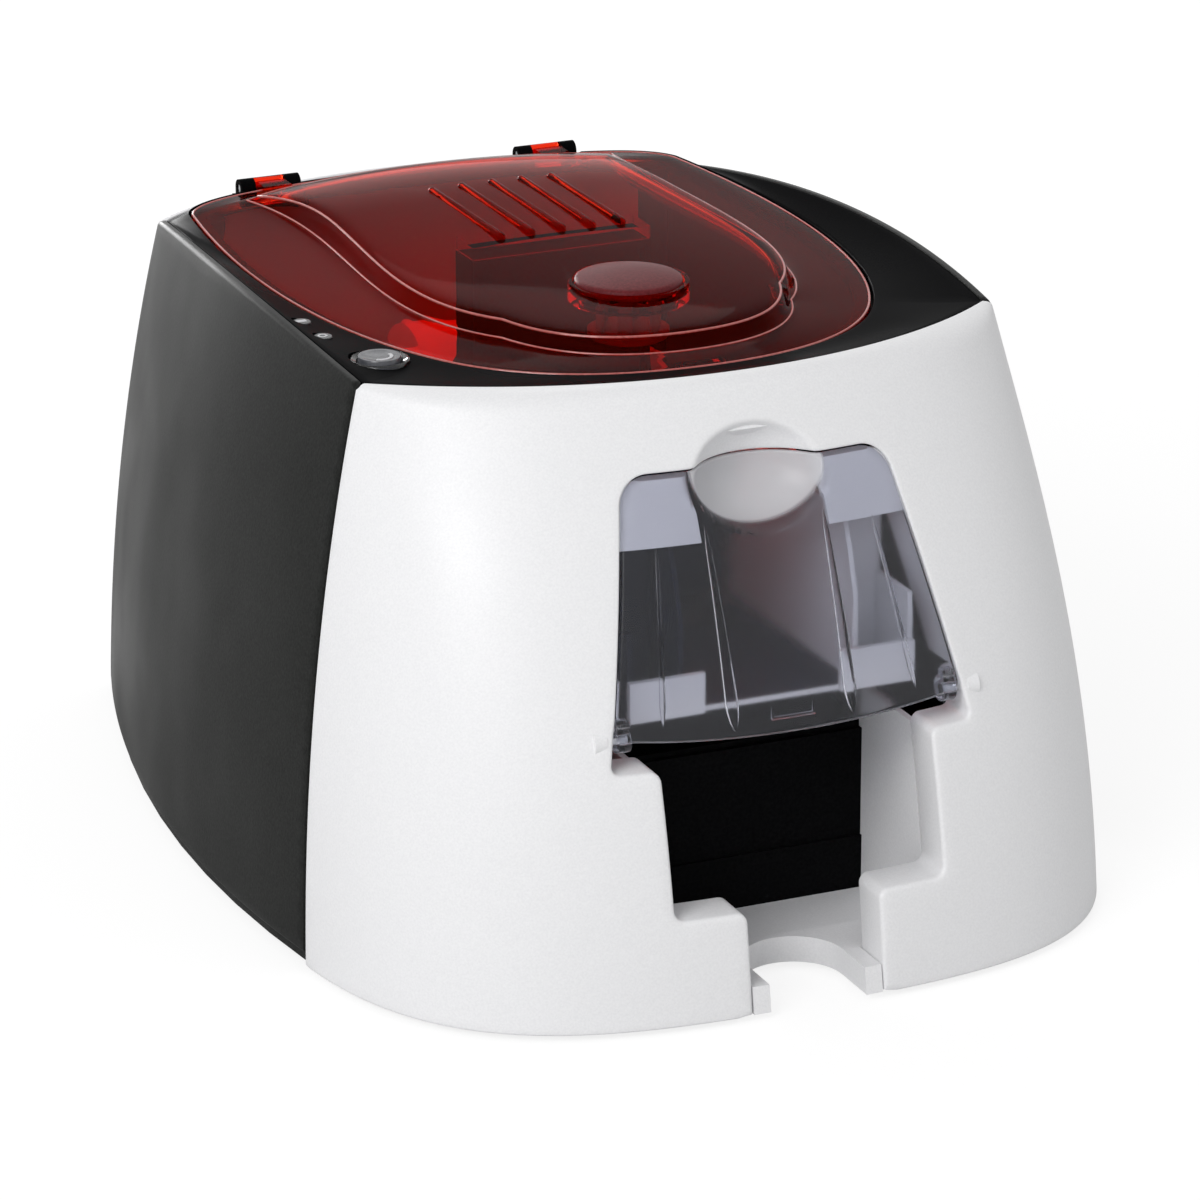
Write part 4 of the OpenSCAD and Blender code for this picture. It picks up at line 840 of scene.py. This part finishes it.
def makeRearCover():
    mesh = coverMesh("rearCover", 2 + seamCut, 4 - seamCut, shape["skirt"])
    x0, x1, z0, z1 = rearCover["usb"]
    x, z, r = rearCover["power"]
    near, far = rearCover["cut"]
    rod = rodMesh("powerCut", near, far, shape["length"] / 2, 0, r)  # made along X, then turned
    rod.transform(Matrix.Rotation(math.pi / 2, 4, "Z"))
    rod.transform(Matrix.Translation(toWorld((x, 0, z))))
    shell = carved(mesh, [boxMesh("usbCut", (x0, near, z0), (x1, far, z1)), rod])
    parts = [shell] + [tabMesh(s, rearCover["tabs"]) for s in (-1, 1)]
    finishPiece("rearCoverShell", joinedMesh("rearCover", parts), "white", "printer",
                ["rear_cover"])


# latchY holds the front of the hook, the front of its arm and the back of both; boss holds its
# half width, front, back and underside
lid = {
    "backY": 312, "flangeZ": 175.5, "domeZ": 188.5, "thick": 2.2, "gap": 0.8, "ledge": 5,
    "steps": 216, "foot": 177, "middle": (0, 225), "topY": 235, "fallFront": 0.00035,
    "fallBack": 0.0018, "fallSide": 0.001, "pad": (0, 138), "padRadius": 16.5, "padWell": 17,
    "padHole": 14.3, "padDeep": 4.3, "hingeY": 315.5, "hingeZ": 174.5, "knuckle": (44, 54),
    "knuckleRadius": 3, "pin": 1.5, "barLength": 59, "barRadius": 1.35, "bars": 5,
    "barPitch": 10.2, "barY": 216.5, "barZ": 188.2, "barSag": -1.0, "latchHalf": 8,
    "latchY": (83, 85, 87), "latchDeep": 9, "boss": (30, 188, 202, 180.3),
}
flangeCurves = [
    [(0, 79), (38, 79), (60, 95), (72, 118)], [(72, 118), (97, 166), (93, 240), (85, 290)],
    [(85, 290), (80, 306), (50, 312), (0, 312)],
]
domeCurves = [
    [(0, 92), (24, 92), (40, 104), (47, 125)], [(47, 125), (80, 165), (46, 238), (64, 292)],
    [(64, 292), (50, 299), (25, 300), (0, 300)],
]


def around(curves, v):
    # Lid outlines, in the same halves as the covers
    v = v % 6
    u = halfOf(v)
    part = min(2, int(u))
    x, y = bezier(curves[part], u - part)
    return Vector((sideOf(v) * x, y))


def flangeEdge(v, gap=0):
    d = (around(flangeCurves, v + nudge) - around(flangeCurves, v - nudge)).normalized()
    return around(flangeCurves, v) - gap * Vector((-d.y, d.x))


def domeHeight(x, y):
    fall = lid["fallBack"] if y > lid["topY"] else lid["fallFront"]
    return lid["domeZ"] - fall * (y - lid["topY"]) ** 2 - lid["fallSide"] * x * x


def loopAt(place):
    return [place(6 * i / lid["steps"]) for i in range(lid["steps"])]


def edgeLoop(gap, z):
    return loopAt(lambda v: Vector((*flangeEdge(v, gap), z)))


def insetLoop(share, height):
    # A loop at a share of the way from the lid's middle to the dome's outline
    def place(v):
        p = Vector(lid["middle"]).lerp(around(domeCurves, v), share)
        return Vector((p.x, p.y, height(p)))
    return loopAt(place)


def levelLoop(share, z):
    return insetLoop(share, lambda p: z)


def domeLoop(share, drop=0):
    return insetLoop(share, lambda p: domeHeight(p.x, p.y) - drop)


def riseLoop(share, rise, drop=0):
    # Between the lid's foot (0) and its dome (1)
    return insetLoop(share, lambda p: mix(lid["foot"], domeHeight(p.x, p.y), rise) - drop)


def between(a, b, ks):
    return [[p.lerp(q, k) for p, q in zip(a, b)] for k in ks]


def copyTree(name, inputs):
    tree = bpy.data.node_groups.new(name, "GeometryNodeTree")
    tree.interface.new_socket("Geometry", in_out="OUTPUT", socket_type="NodeSocketGeometry")
    sockets = {}
    for label, kind in {"Geometry": "Geometry", **inputs, "Material": "Material"}.items():
        made = tree.interface.new_socket(label, in_out="INPUT", socket_type="NodeSocket" + kind)
        sockets[label] = made.identifier
    return tree, sockets, tree.nodes.new("NodeGroupInput").outputs


def paintedReal(tree, geometry, paint):
    real = added(tree, "GeometryNodeRealizeInstances", {"Geometry": geometry})
    painted = added(tree, "GeometryNodeSetMaterial", {"Geometry": real.outputs[0],
                                                      "Material": paint})
    added(tree, "NodeGroupOutput", {0: painted.outputs[0]})


def lineTree():
    # Copies of the shape that comes in, on a straight row of points that may sag with x squared
    tree, sockets, given = copyTree("copiesOnLine", {"Count": "Int", "Start": "Vector",
                                                     "Offset": "Vector", "Sag": "Float"})
    line = added(tree, "GeometryNodeMeshLine", {
        "Count": given["Count"], "Start Location": given["Start"], "Offset": given["Offset"]})
    position = added(tree, "GeometryNodeInputPosition", {}).outputs[0]
    x = apart(tree, position)["X"]
    drop = mathNode(tree, "MULTIPLY", mathNode(tree, "MULTIPLY", x, x), given["Sag"])
    moved = added(tree, "ShaderNodeCombineXYZ", {"Z": drop})
    place = added(tree, "GeometryNodeSetPosition", {"Geometry": line.outputs[0],
                                                    "Offset": moved.outputs[0]})
    copies = added(tree, "GeometryNodeInstanceOnPoints", {"Points": place.outputs[0],
                                                          "Instance": given["Geometry"]})
    paintedReal(tree, copies.outputs[0], given["Material"])
    return tree, sockets


def ringTree():
    # Copies of the shape that comes in, turned round a vertical axis
    tree, sockets, given = copyTree("copiesOnRing", {"Count": "Int", "Radius": "Float",
                                                     "Center": "Vector"})
    ring = added(tree, "GeometryNodeMeshCircle", {"Vertices": given["Count"],
                                                  "Radius": given["Radius"]})
    index = added(tree, "GeometryNodeInputIndex", {}).outputs[0]
    share = mathNode(tree, "DIVIDE", index, given["Count"])
    turn = mathNode(tree, "MULTIPLY", share, 2 * math.pi)
    angle = added(tree, "ShaderNodeCombineXYZ", {"Z": turn}).outputs[0]
    copies = added(tree, "GeometryNodeInstanceOnPoints", {
        "Points": ring.outputs[0], "Instance": given["Geometry"], "Rotation": angle})
    move = added(tree, "GeometryNodeTransform", {"Geometry": copies.outputs[0],
                                                 "Translation": given["Center"]})
    paintedReal(tree, move.outputs[0], given["Material"])
    return tree, sockets


copyTrees = {"line": lineTree(), "ring": ringTree()}


def repeated(shapeMesh, tree, **values):
    group, sockets = copyTrees[tree]
    piece = linked(shapeMesh, "repeated")
    copier = piece.modifiers.new("copies", "NODES")
    copier.node_group = group
    for label, value in values.items():
        copier[sockets[label]] = value
    piece.update_tag()
    bpy.context.view_layer.update()
    return evaluated(piece)


def capsule(name, length, r, rounds=6, count=20):
    # A bar with round ends along y, about the origin
    quarter = [math.pi / 2 * j / rounds for j in range(rounds + 1)]
    rows = [(-length / 2 + 1.6 * r * (1 - math.cos(q)), r * math.sin(q)) for q in quarter]
    rows += [(-y, q) for y, q in reversed(rows)]
    verts = [(q * math.cos(a), y, q * math.sin(a)) for y, q in rows for a in angles(count)]
    return meshFrom(name, verts, rowFaces(len(rows), count, False), 0.002,
                    lambda p: [c * 0.001 for c in p])


def lidLoops():
    # The lid's wall, from the middle of its inside round the edge to the middle of its top
    z0, z1, t = lid["flangeZ"], lid["foot"], lid["thick"]
    loops = [levelLoop(0.06, lid["domeZ"] - t)]
    loops += [domeLoop(k, t) for k in (0.2, 0.4, 0.6, 0.78)]
    loops += [riseLoop(share, rise, t) for share, rise in (
        (0.86, 0.99), (0.9, 0.96), (0.925, 0.89), (0.938, 0.76), (0.948, 0.54), (0.958, 0.27),
        (0.968, 0.08))]
    loops.append(levelLoop(0.985, z1 - t))
    loops += between(levelLoop(0.985, z1 - t - 0.15), edgeLoop(-0.8, z0 - t), (0.3, 0.65, 1))
    loops += [edgeLoop(gap, z0 - drop) for gap, drop in (
        (-0.25, t - 0.15), (-0.05, t - 0.5), (0, t - 0.9), (0, 0.8), (-0.1, 0.4), (-0.35, 0.12))]
    loops += between(edgeLoop(-1.1, z0 + 0.05), levelLoop(1.035, z1 - 0.1), steps(0, 1, 5))
    loops += [riseLoop(share, rise) for share, rise in (
        (1.018, 0.03), (1.008, 0.1), (1.001, 0.22), (0.994, 0.42), (0.985, 0.62), (0.976, 0.78),
        (0.966, 0.89), (0.952, 0.955), (0.93, 0.986), (0.9, 0.997))]
    loops += [domeLoop(k) for k in (0.8, 0.65, 0.5, 0.35, 0.2, 0.08)]
    loops.append(levelLoop(0.015, lid["domeZ"]))
    return loops


def makeLid():
    z0 = lid["flangeZ"]
    hinge = (lid["hingeY"], lid["hingeZ"])
    k0, k1 = lid["knuckle"]
    joined = []
    for s in (-1, 1):
        joined.append(rodMesh("knuckle", s * k0, s * k1, *hinge, lid["knuckleRadius"]))
        joined.append(boxMesh("knuckleWeb", (s * (k0 + 0.02), lid["backY"] - 6, z0 - 1.2),
                              (s * (k1 - 0.02), lid["hingeY"], z0 + 1.2), 0.3))
    half, low = lid["latchHalf"], z0 - lid["latchDeep"]
    hookY, armY, endY = lid["latchY"]
    joined.append(boxMesh("latchArm", (-half, armY, low), (half, endY, z0 - 1), 0.3))
    joined.append(boxMesh("latchHook", (-half - 0.02, hookY, low - 0.02),
                          (half + 0.02, endY + 0.02, low + 1.5), 0.3))
    half, near, far, low = lid["boss"]
    joined.append(boxMesh("headBoss", (-half, near, low),
                          (half, far, domeHeight(half, near) - 0.35), 0.5))
    seat = domeHeight(*lid["pad"]) - lid["padDeep"]
    well = lid["padWell"]
    joined.append(turned("padSeat", [(0, seat - 2.2), (well + 0.9, seat - 2.2),
                                     (well + 1.5, seat - 1.6), (well + 1.5, seat + 4.6),
                                     (0, seat + 4.6)], lid["pad"]))
    pitch, bars = lid["barPitch"], lid["bars"]
    joined.append(repeated(capsule("gripBar", lid["barLength"], lid["barRadius"]), "line",
                           Count=bars, Offset=(pitch * 0.001, 0, 0), Sag=lid["barSag"],
                           Start=toWorld(((1 - bars) / 2 * pitch, lid["barY"], lid["barZ"])),
                           Material=finish["red"]))
    shell = carved(loftedLoops("lidShell", lidLoops()), joined, "UNION")
    cuts = [turned("well", [(0, seat), (well - 0.4, seat), (well, seat + 0.4), (well, seat + 5.2),
                            (well + 0.6, seat + 6), (well + 0.6, seat + 20), (0, seat + 20)],
                   lid["pad"]),
            post("hole", lid["pad"], lid["padHole"], 165, 200)]
    cuts += [rodMesh("pinHole", s * (k0 - 1), s * (k1 + 1), *hinge, lid["pin"] + 0.05)
             for s in (-1, 1)]
    finishPiece("lidCover", carved(shell, cuts), "red", "lid", ["lid_shell"], 30)


def bead(loop, r, sides=8):
    # A thin round rib along a closed loop
    rings = []
    for i, p in enumerate(loop):
        along = (loop[(i + 1) % len(loop)] - loop[i - 1]).normalized()
        out = along.cross(Vector((0, 0, 1))).normalized()
        up = out.cross(along)
        rings.append([p + r * (math.cos(a) * out + math.sin(a) * up) for a in angles(sides)])
    return loftedLoops("bead", rings, False)


def makeLidPaintedHighlights():
    # Thin beads along the dome's crease, the dome's foot and the flange's edge, in a pale pinkish
    # red: painted highlight lines where the lid's edges catch light
    parts = [bead(riseLoop(0.9725, 0.83), 0.42), bead(riseLoop(1.014, 0.03), 0.34),
             bead(edgeLoop(-0.5, lid["flangeZ"] - 0.25), 0.42)]
    finishPiece("lidEdges", joinedMesh("lidEdges", parts), "edge", "lid", [])


pad = {
    "ball": 62, "rise": 3.4, "fins": 6, "finRing": 0.0095, "finHalf": (0.5, 2.2), "finTop": 1.5,
    "plateTop": 15.5, "plateFoot": 17.5, "plateIn": 4,
}


def makePad():
    z = domeHeight(*lid["pad"])
    r = lid["padRadius"]

    def dome(q):
        return z + pad["rise"] - pad["ball"] + math.sqrt(pad["ball"] ** 2 - q * q)

    profile = [(0, z - 1.9), (r - 3, z - 1.9), (r - 0.8, z - 2), (r, z - 1.4), (r, dome(r) - 0.7),
               (r - 0.25, dome(r) - 0.2), (r - 0.8, dome(r - 0.8) - 0.03)]
    profile += [(q, dome(q)) for q in steps(r - 1.5, 0.0, 12)]
    cap = turned("padCap", profile, lid["pad"])
    middle = shape["length"] / 2  # the fin is made about the origin
    across, along = pad["finHalf"]
    fin = boxMesh("fin", (-across, middle - along, -pad["plateTop"]),
                  (across, middle + along, -pad["finTop"]), 0.25)
    fins = repeated(fin, "ring", Count=pad["fins"], Radius=pad["finRing"],
                    Center=toWorld((*lid["pad"], z)), Material=finish["pad"])
    edge = r - pad["plateIn"]
    foot, top = z - pad["plateFoot"], z - pad["plateTop"]
    plate = turned("padPlate", [(0, foot), (edge - 0.4, foot), (edge, foot + 0.4), (edge, top),
                                (0, top)], lid["pad"], 64)
    finishPiece("releaseButton", joinedMesh("releasePad", [cap, fins, plate]), "pad", "release_pad",
                ["release_pad"], 40)


# leg is (radius, foot, top), pocket is (front, clearance round the hinge, top)
topFrame = {
    "button": (-88, 121), "seat": 171.5, "seatRadius": 10.75, "ringRadius": 9.3, "stemHole": 4.8,
    "windows": ((-97, 144), (-98, 159)), "windowRadius": 3.05, "legs": ((92, 106), (78, 292)),
    "leg": (5, 6, 171.95), "rimIn": 2.8, "hollow": 0.5, "lugs": (38.7, 54.3),
    "lugLong": 5, "pocket": (300, 3.3, 186), "lugDeep": 7, "lugBar": 6.3,
}


def frameHeight(v, share):
    # The top surface between the rim (0) and the lid's edge (1), a little hollow
    rim = crestInside(v, topFrame["rimIn"])
    return (mix(rim.z + 1.5, lid["flangeZ"] + 0.3, share)
            - topFrame["hollow"] * math.sin(math.pi * share))


def frameSection(v):
    rim = crestInside(v, topFrame["rimIn"])
    edge = flangeEdge(v, lid["gap"])
    ledge = flangeEdge(v, -lid["ledge"])
    seat = lid["flangeZ"] - lid["thick"] - 0.3
    width = (rim.xy - edge).length

    def top(share, drop=0):
        p = rim.xy.lerp(edge, share)
        return Vector((p.x, p.y, frameHeight(v, share) - drop))

    points = [Vector((*ledge, seat - 2.5)), Vector((rim.x, rim.y, min(rim.z, seat + 3) - 2.5)),
              top(0, 0.5), top(0.15 / width, 0.15), top(0.5 / width)]
    points += [top(k) for k in (0.12, 0.25, 0.4, 0.55, 0.7, 0.84, 0.94)]
    points += [top(1 - 0.9 / width), top(1 - 0.3 / width, 0.12), top(1, 0.5),
               Vector((*edge, seat)), Vector((*ledge, seat))]
    return points


def frameTopAt(x, y):
    # Height of the frame's top surface at a place on it
    place = Vector((x, y))
    best = (math.inf, 0)
    for i in range(1440):
        v = i / 240
        rim, edge = crestInside(v, topFrame["rimIn"]).xy, flangeEdge(v, lid["gap"])
        way = edge - rim
        share = min(1, max(0, (place - rim).dot(way) / way.length_squared))
        off = (rim + way * share - place).length
        if off < best[0]:
            best = (off, frameHeight(v, share))
    return best[1]


def makeTopFrame():
    hinge = (lid["hingeY"], lid["hingeZ"])
    r, seat, button = lid["knuckleRadius"], topFrame["seat"], topFrame["button"]
    long, deep = topFrame["lugLong"], topFrame["lugDeep"]
    x0, x1 = topFrame["lugs"][0], topFrame["lugs"][1] + long
    near, clear, high = topFrame["pocket"]
    ring = loftedLoops("topFrame", loopAt(frameSection), False)
    ring = carved(ring, [boxMesh("pocket", (s * x0, near, hinge[1] - clear),
                                 (s * x1, hinge[0] + clear, high)) for s in (-1, 1)])
    joined = [post("buttonSeat", button, topFrame["seatRadius"], seat - 3, seat + 2)]
    joined += [post("leg", (s * x, y), *topFrame["leg"], 32) for x, y in topFrame["legs"]
               for s in (-1, 1)]
    for s in (-1, 1):
        for x in topFrame["lugs"]:
            joined.append(rodMesh("lug", s * x, s * (x + long), *hinge, r))
            joined.append(boxMesh("lugWeb", (s * (x + 0.01), hinge[0] - r, hinge[1] - deep),
                                  (s * (x + long - 0.01), hinge[0] + r, hinge[1])))
        joined.append(boxMesh("lugBar", (s * x0, hinge[0] - r, hinge[1] - deep - 0.01),
                              (s * x1, hinge[0] + topFrame["lugBar"], hinge[1] - clear)))
    ring = carved(ring, joined, "UNION")
    cuts = [post("ringHole", button, topFrame["ringRadius"], seat, seat + 20),
            post("stemHole", button, topFrame["stemHole"], seat - 10, seat + 10)]
    cuts += [post("windowHole", place, topFrame["windowRadius"], 165, 190, 48)
             for place in topFrame["windows"]]
    cuts += [rodMesh("pinHole", s * (x0 - 1.7), s * (x1 + 1.7), *hinge, lid["pin"])
             for s in (-1, 1)]
    finishPiece("topFrameRing", carved(ring, cuts), "black", "printer", ["top_frame"],
                36)


# mark is (inner radius, outer radius, foot, top), turned through markTurn degrees
controls = {
    "capRadius": 6.5, "capRise": 1.3, "ringRadius": 9.25, "bore": 6.8, "ringOut": 0.7,
    "mark": (3.1, 4.1, 4.2, 4.72), "markTurn": (235, 375), "lens": 3, "lensFoot": 174.5,
    "signDeep": 0.1, "signOut": 0.08, "signRing": (0.9, 1.5), "signCard": (1.6, 1.0),
}


def makeControls():
    button, seat = topFrame["button"], topFrame["seat"]
    r, bore, c = controls["ringRadius"], controls["bore"], controls["capRadius"]
    level = min(frameTopAt(*button) + controls["ringOut"], seat + 7.5)
    ring = turned("buttonRing", [(bore, seat), (r, seat), (r, level - 0.9), (r - 0.3, level - 0.3),
                                 (r - 0.9, level), (bore + 0.8, level - 0.4),
                                 (bore + 0.2, level - 0.7), (bore, level - 1.2)], button)
    finishPiece("buttonRingPiece", ring, "clear", "printer", ["button_ring"], 35)
    low = seat + controls["capRise"]
    dish = [(q, low + 5.0 - 0.9 * (1 - (q / (c - 0.6)) ** 2)) for q in steps(0.0, c - 0.6, 8)]
    cap = turned("buttonCap", [(0, seat - 6), (5.9, seat - 6), (5.9, seat - 4.5), (4.5, seat - 4.4),
                               (4.5, low), (c, low), (c, low + 4.6), (c - 0.2, low + 4.9)]
                 + dish[::-1], button, 72)
    near, far, down, up = controls["mark"]
    mark = []
    for degrees in steps(*controls["markTurn"], 26):
        a = math.radians(degrees)
        mark.append([Vector((button[0] + k * math.cos(a), button[1] + k * math.sin(a), low + h))
                     for k, h in ((near, down), (far, down), (far, up), (near, up))])
    for name, mesh, kind in (("buttonCapPiece", cap, "cap"),
                             ("buttonMarkPiece", loftedLoops("buttonMark", mark), "mark")):
        finishPiece(name, mesh, kind, "control_button", ["control_button"], 35)
    lens, foot = controls["lens"], controls["lensFoot"]
    for letter, place in zip("AB", topFrame["windows"]):
        top = frameTopAt(*place) + 0.15
        window = turned("window", [(0, foot), (lens, foot), (lens, top - 0.3),
                                   (lens - 0.2, top - 0.05), (lens - 0.5, top), (0, top)],
                        place, 48)
        under, over = top - controls["signDeep"], top + controls["signOut"]
        if letter == "A":
            near, far = controls["signRing"]
            profile = [(near, under), (far, under), (far, over), (near, over)]
            sign = turned("sign", profile, place, 40)
        else:
            a, b = controls["signCard"]
            sign = loftedLoops("sign", [[Vector((place[0] + i * a, place[1] + j * b, z))
                                         for i, j in ((-1, -1), (1, -1), (1, 1), (-1, 1))]
                                        for z in (under, over)])
        for name, mesh, kind in (("Window", window, "window"), ("Sign", sign, "mark")):
            finishPiece("status" + name + letter, mesh, kind, "printer", ["status_windows"],
                        35)


# mark is (half width, lowest, highest) of the outline on the door's back
door = {
    "gap": 0.6, "thick": 2.2, "bottomMiddle": 82, "bottomSide": 84.6, "edge": 0.75,
    "lugRadius": 4, "lugs": (50.5, 54.3), "lugNear": 22.6, "lugTop": 90.4, "pinHole": 1.55,
    "step": 2.4, "fineStep": 0.9, "bowl": (25, 133), "grid": (58, 80, 156),
    "ribs": ({"x": (19, 19), "z": (140, 84), "half": (0.7, 2.3), "deep": (0.8, 3.0)},
             {"x": (34.6, 40.6), "z": (136, 87.5), "half": (0.5, 0.9), "deep": (0.8, 2.4)}),
    "mark": (7, 85.2, 90.2), "markLine": 0.8, "markOut": (0.9, 0.75),
}


def doorPath():
    low, high = door["bottomMiddle"], door["bottomSide"]
    foot, arc = placeSide(-door["gap"], high)
    side = roundedPath([(0, high, 0), (*foot, 3), (*arc[0], 0)], 1.6)
    side = [Vector((p.x, p.y - (high - low) * max(0, 1 - (p.x / 50) ** 2) * (p.y < 90)))
            for p in side]
    side += [Vector(p) for p in arc[1:]]
    last = side[-1]
    side += [last.lerp(Vector((0, last.y)), k) for k in steps(0.04, 1, 24)]
    return side + mirrored(side[1:-1])


def doorRib(s, rib):
    # Swells away from its ends, along the back of the door
    loops = []
    for k in steps(0, 1, 26):
        x, z = s * mix(*rib["x"], k), mix(*rib["z"], k)
        swell = min(1, math.sqrt(max(0.02, k * 9)), math.sqrt(max(0.02, (1 - k) * 9)))
        h, d = [mix(*rib[side], k) * swell for side in ("half", "deep")]
        y = skinY(x, z) + door["thick"]
        loops.append([Vector((x + h * math.cos(a), y - 0.4 + (d + 0.4) * math.sin(a), z))
                      for a in steps(0, math.pi, 9)])
    return loftedLoops("rib", loops)


def makeDoor():
    path = doorPath()
    e, t = door["edge"], door["thick"]
    roll = [(e, 0), (e * 0.45, 0.08), (0.12, 0.32), (0, e), (0, t - e), (0.12, t - 0.32),
            (e * 0.45, t - 0.08), (e, t)]
    edge = []
    for i, p in enumerate(path):
        way = path[(i + 1) % len(path)] - path[i - 1]
        m = Vector((-way.y, way.x)).normalized()
        points = []
        for g, d in roll:
            x, z = p.x + m.x * g, p.y + m.y * g
            points.append(Vector((x, faceY(x, z) + d, z)))
        flat = (p.x + m.x * e, p.y + m.y * e)
        edge.append((points, flat, flat))
    reach, low = door["bowl"]
    half, z0, z1 = door["grid"]
    grid = [p for p in gridPoints(-half, half, z0, z1, door["step"])
            if not (abs(p[0]) < reach and p[1] > low)]
    grid += gridPoints(-reach, reach, low, z1, door["fineStep"])
    slab = sheetPair("doorSlab", edge, lambda x, z: Vector((x, faceY(x, z), z)),
                     lambda x, z: Vector((x, faceY(x, z) + t, z)), grid, grid, door["fineStep"])
    joined = [doorRib(s, rib) for s in (-1, 1) for rib in door["ribs"]]
    x0, x1 = door["lugs"]
    pinZ = front["pinZ"]
    for s in (-1, 1):
        joined.append(rodMesh("doorLug", s * x0, s * x1, pinY, pinZ, door["lugRadius"]))
        joined.append(boxMesh("lugWeb", (s * (x0 + 0.01), door["lugNear"], pinZ),
                              (s * (x1 - 0.01), pinY + 2, door["lugTop"]), 0.4))
    half, low, high = door["mark"]
    line, (near, far) = door["markLine"], door["markOut"]
    y = skinY(0, 87) + t
    for a, b, z0, z1 in ((-half, half, low, low + line), (-half, half, high - line, high),
                         (-half, line - half, low, high), (half - line, half, low, high)):
        joined.append(boxMesh("mark", (a, y - near, z0), (b, y + far, z1), 0.15))
    cuts = [rodMesh("pinHole", s * (x0 - 1), s * (x1 + 1), pinY, pinZ, door["pinHole"])
            for s in (-1, 1)]
    slab = carved(carved(slab, joined, "UNION"), cuts)
    finishPiece("feederDoorPanel", slab, "door", "feeder_door", ["feeder_door"],
                38)


for label, make in (("front cover", makeFrontCover), ("side panels", makeSidePanels),
                    ("rear cover", makeRearCover), ("top frame", makeTopFrame), ("lid", makeLid),
                    ("lid painted highlights", makeLidPaintedHighlights), ("release pad", makePad),
                    ("controls", makeControls), ("feeder door", makeDoor)):
    make()
    print(label, "done")


# Carried-over nodes get the finish of what they are: the first kind with a word of their name
nodeFinish = {
    "acetal": ["_gear", "_pinion", "bushes", "print_head"], "board": ["control_board"],
    "charcoal": ["base_pan", "side_panel"], "white": ["_cover", "card_tray", "_spool"],
    "black": ["top_frame", "feed_motor", "power_socket", "control_button"],
    "innerBlack": ["tray_back_wall", "exit_chute", "card_table", "head_bracket", "card_divider"],
    "rubber": ["rubber_feet", "_roller"], "hopper": ["feeder_hopper"], "red": ["lid_shell"],
    "steel": ["_plate", "usb_socket", "ribbon_motor", "_screws", "latch_catch", "_pins", "_studs"],
    "pad": ["release_pad"], "door": ["feeder_door"], "clear": ["button_ring", "status_windows"],
}
for name, node in frame["nodes"].items():
    kind = next(kind for kind, words in nodeFinish.items() if any(word in name for word in words))
    node.data.materials.clear()
    node.data.materials.append(finish[kind])
print("node finishes set")

# Studio: a pale floor, a white surround, soft light from above, both sides and behind.
# Each lamp has its place, what it points at, its size and its power.
studio = {"surround": 0.5, "glow": 0.83, "floor": 6}
lamps = {
    "keyLight": ((-1.5, -1.2, 1.4), (0, 0, 0.08), (1.2, 1.0), 26),
    "fillLight": ((1.5, -0.9, 0.9), (0, 0, 0.08), (1.0, 1.0), 1.5),
    "rimLight": ((0.2, 1.4, 1.3), (0, 0, 0.1), (1.4, 0.7), 3.5),
    "sideLight": ((-0.15, 1.9, 0.3), (-0.13, 0, 0.1), (0.9, 0.5), 12),
}


def areaLight(name, place, target, size, power):
    lamp = bpy.data.lights.new(name, "AREA")
    lamp.shape = "RECTANGLE"
    lamp.size, lamp.size_y = size
    lamp.energy = power
    piece = linked(lamp, name)
    piece.visible_camera = False
    piece.location = place
    piece.rotation_euler = (Vector(target) - Vector(place)).to_track_quat("-Z", "Y").to_euler()


def makeSurround():
    # White to the camera, in reflections and through clear parts, dimmer as a light
    world = bpy.data.worlds.new("studio")
    bpy.context.scene.world = world
    world.use_nodes = True
    tree = world.node_tree
    surround = tree.nodes["Background"]
    surround.inputs["Color"].default_value = (1, 1, 1, 1)
    ray = added(tree, "ShaderNodeLightPath", {}).outputs
    seen = mathNode(tree, "MAXIMUM", ray["Is Camera Ray"], ray["Is Glossy Ray"])
    seen = mathNode(tree, "MAXIMUM", seen, ray["Is Transmission Ray"])
    varied(tree, seen, surround.inputs["Strength"], studio["surround"], 1, 0, 1)


def makeFloor():
    reach = studio["floor"]
    mesh = bpy.data.meshes.new("floor")
    corners = ((-1, -1), (1, -1), (1, 1), (-1, 1))
    mesh.from_pydata([(x * reach, y * reach, 0) for x, y in corners], [], [(0, 1, 2, 3)])
    floor = linked(mesh, "floor")
    mat, tree, shader = material("paleFloor", {"Base Color": (0.8, 0.8, 0.8, 1), "Roughness": 0.9,
                                               "Specular IOR Level": 0})
    soft = added(tree, "ShaderNodeBsdfDiffuse", {"Color": (0.22, 0.22, 0.22, 1)})
    glow = added(tree, "ShaderNodeEmission", {"Strength": studio["glow"]})
    both = added(tree, "ShaderNodeAddShader", {0: soft.outputs[0], 1: glow.outputs[0]})
    ray = added(tree, "ShaderNodeLightPath", {}).outputs
    seen = mathNode(tree, "MAXIMUM", ray["Is Camera Ray"], ray["Is Transmission Ray"])
    blend = added(tree, "ShaderNodeMixShader", {0: seen, 1: shader.outputs[0], 2: both.outputs[0]})
    tree.links.new(blend.outputs[0], tree.nodes["Material Output"].inputs["Surface"])
    mesh.materials.append(mat)


viewpoint = {
    "place": (-0.696637, -1.602056, 0.700), "down": 19.948, "turn": -23.876, "lens": 176.16,
}


def makeCamera():
    camera = bpy.data.cameras.new("camera")
    camera.sensor_width = 36
    camera.lens = viewpoint["lens"]
    camera.clip_end = 50
    piece = linked(camera, "camera")
    piece.location = viewpoint["place"]
    piece.rotation_euler = (math.radians(90 - viewpoint["down"]), 0,
                            math.radians(viewpoint["turn"]))
    bpy.context.scene.camera = piece


makeSurround()
for name, setting in lamps.items():
    areaLight(name, *setting)
makeFloor()
makeCamera()
bpy.context.scene.view_settings.view_transform = "Standard"
print("studio and camera ready")
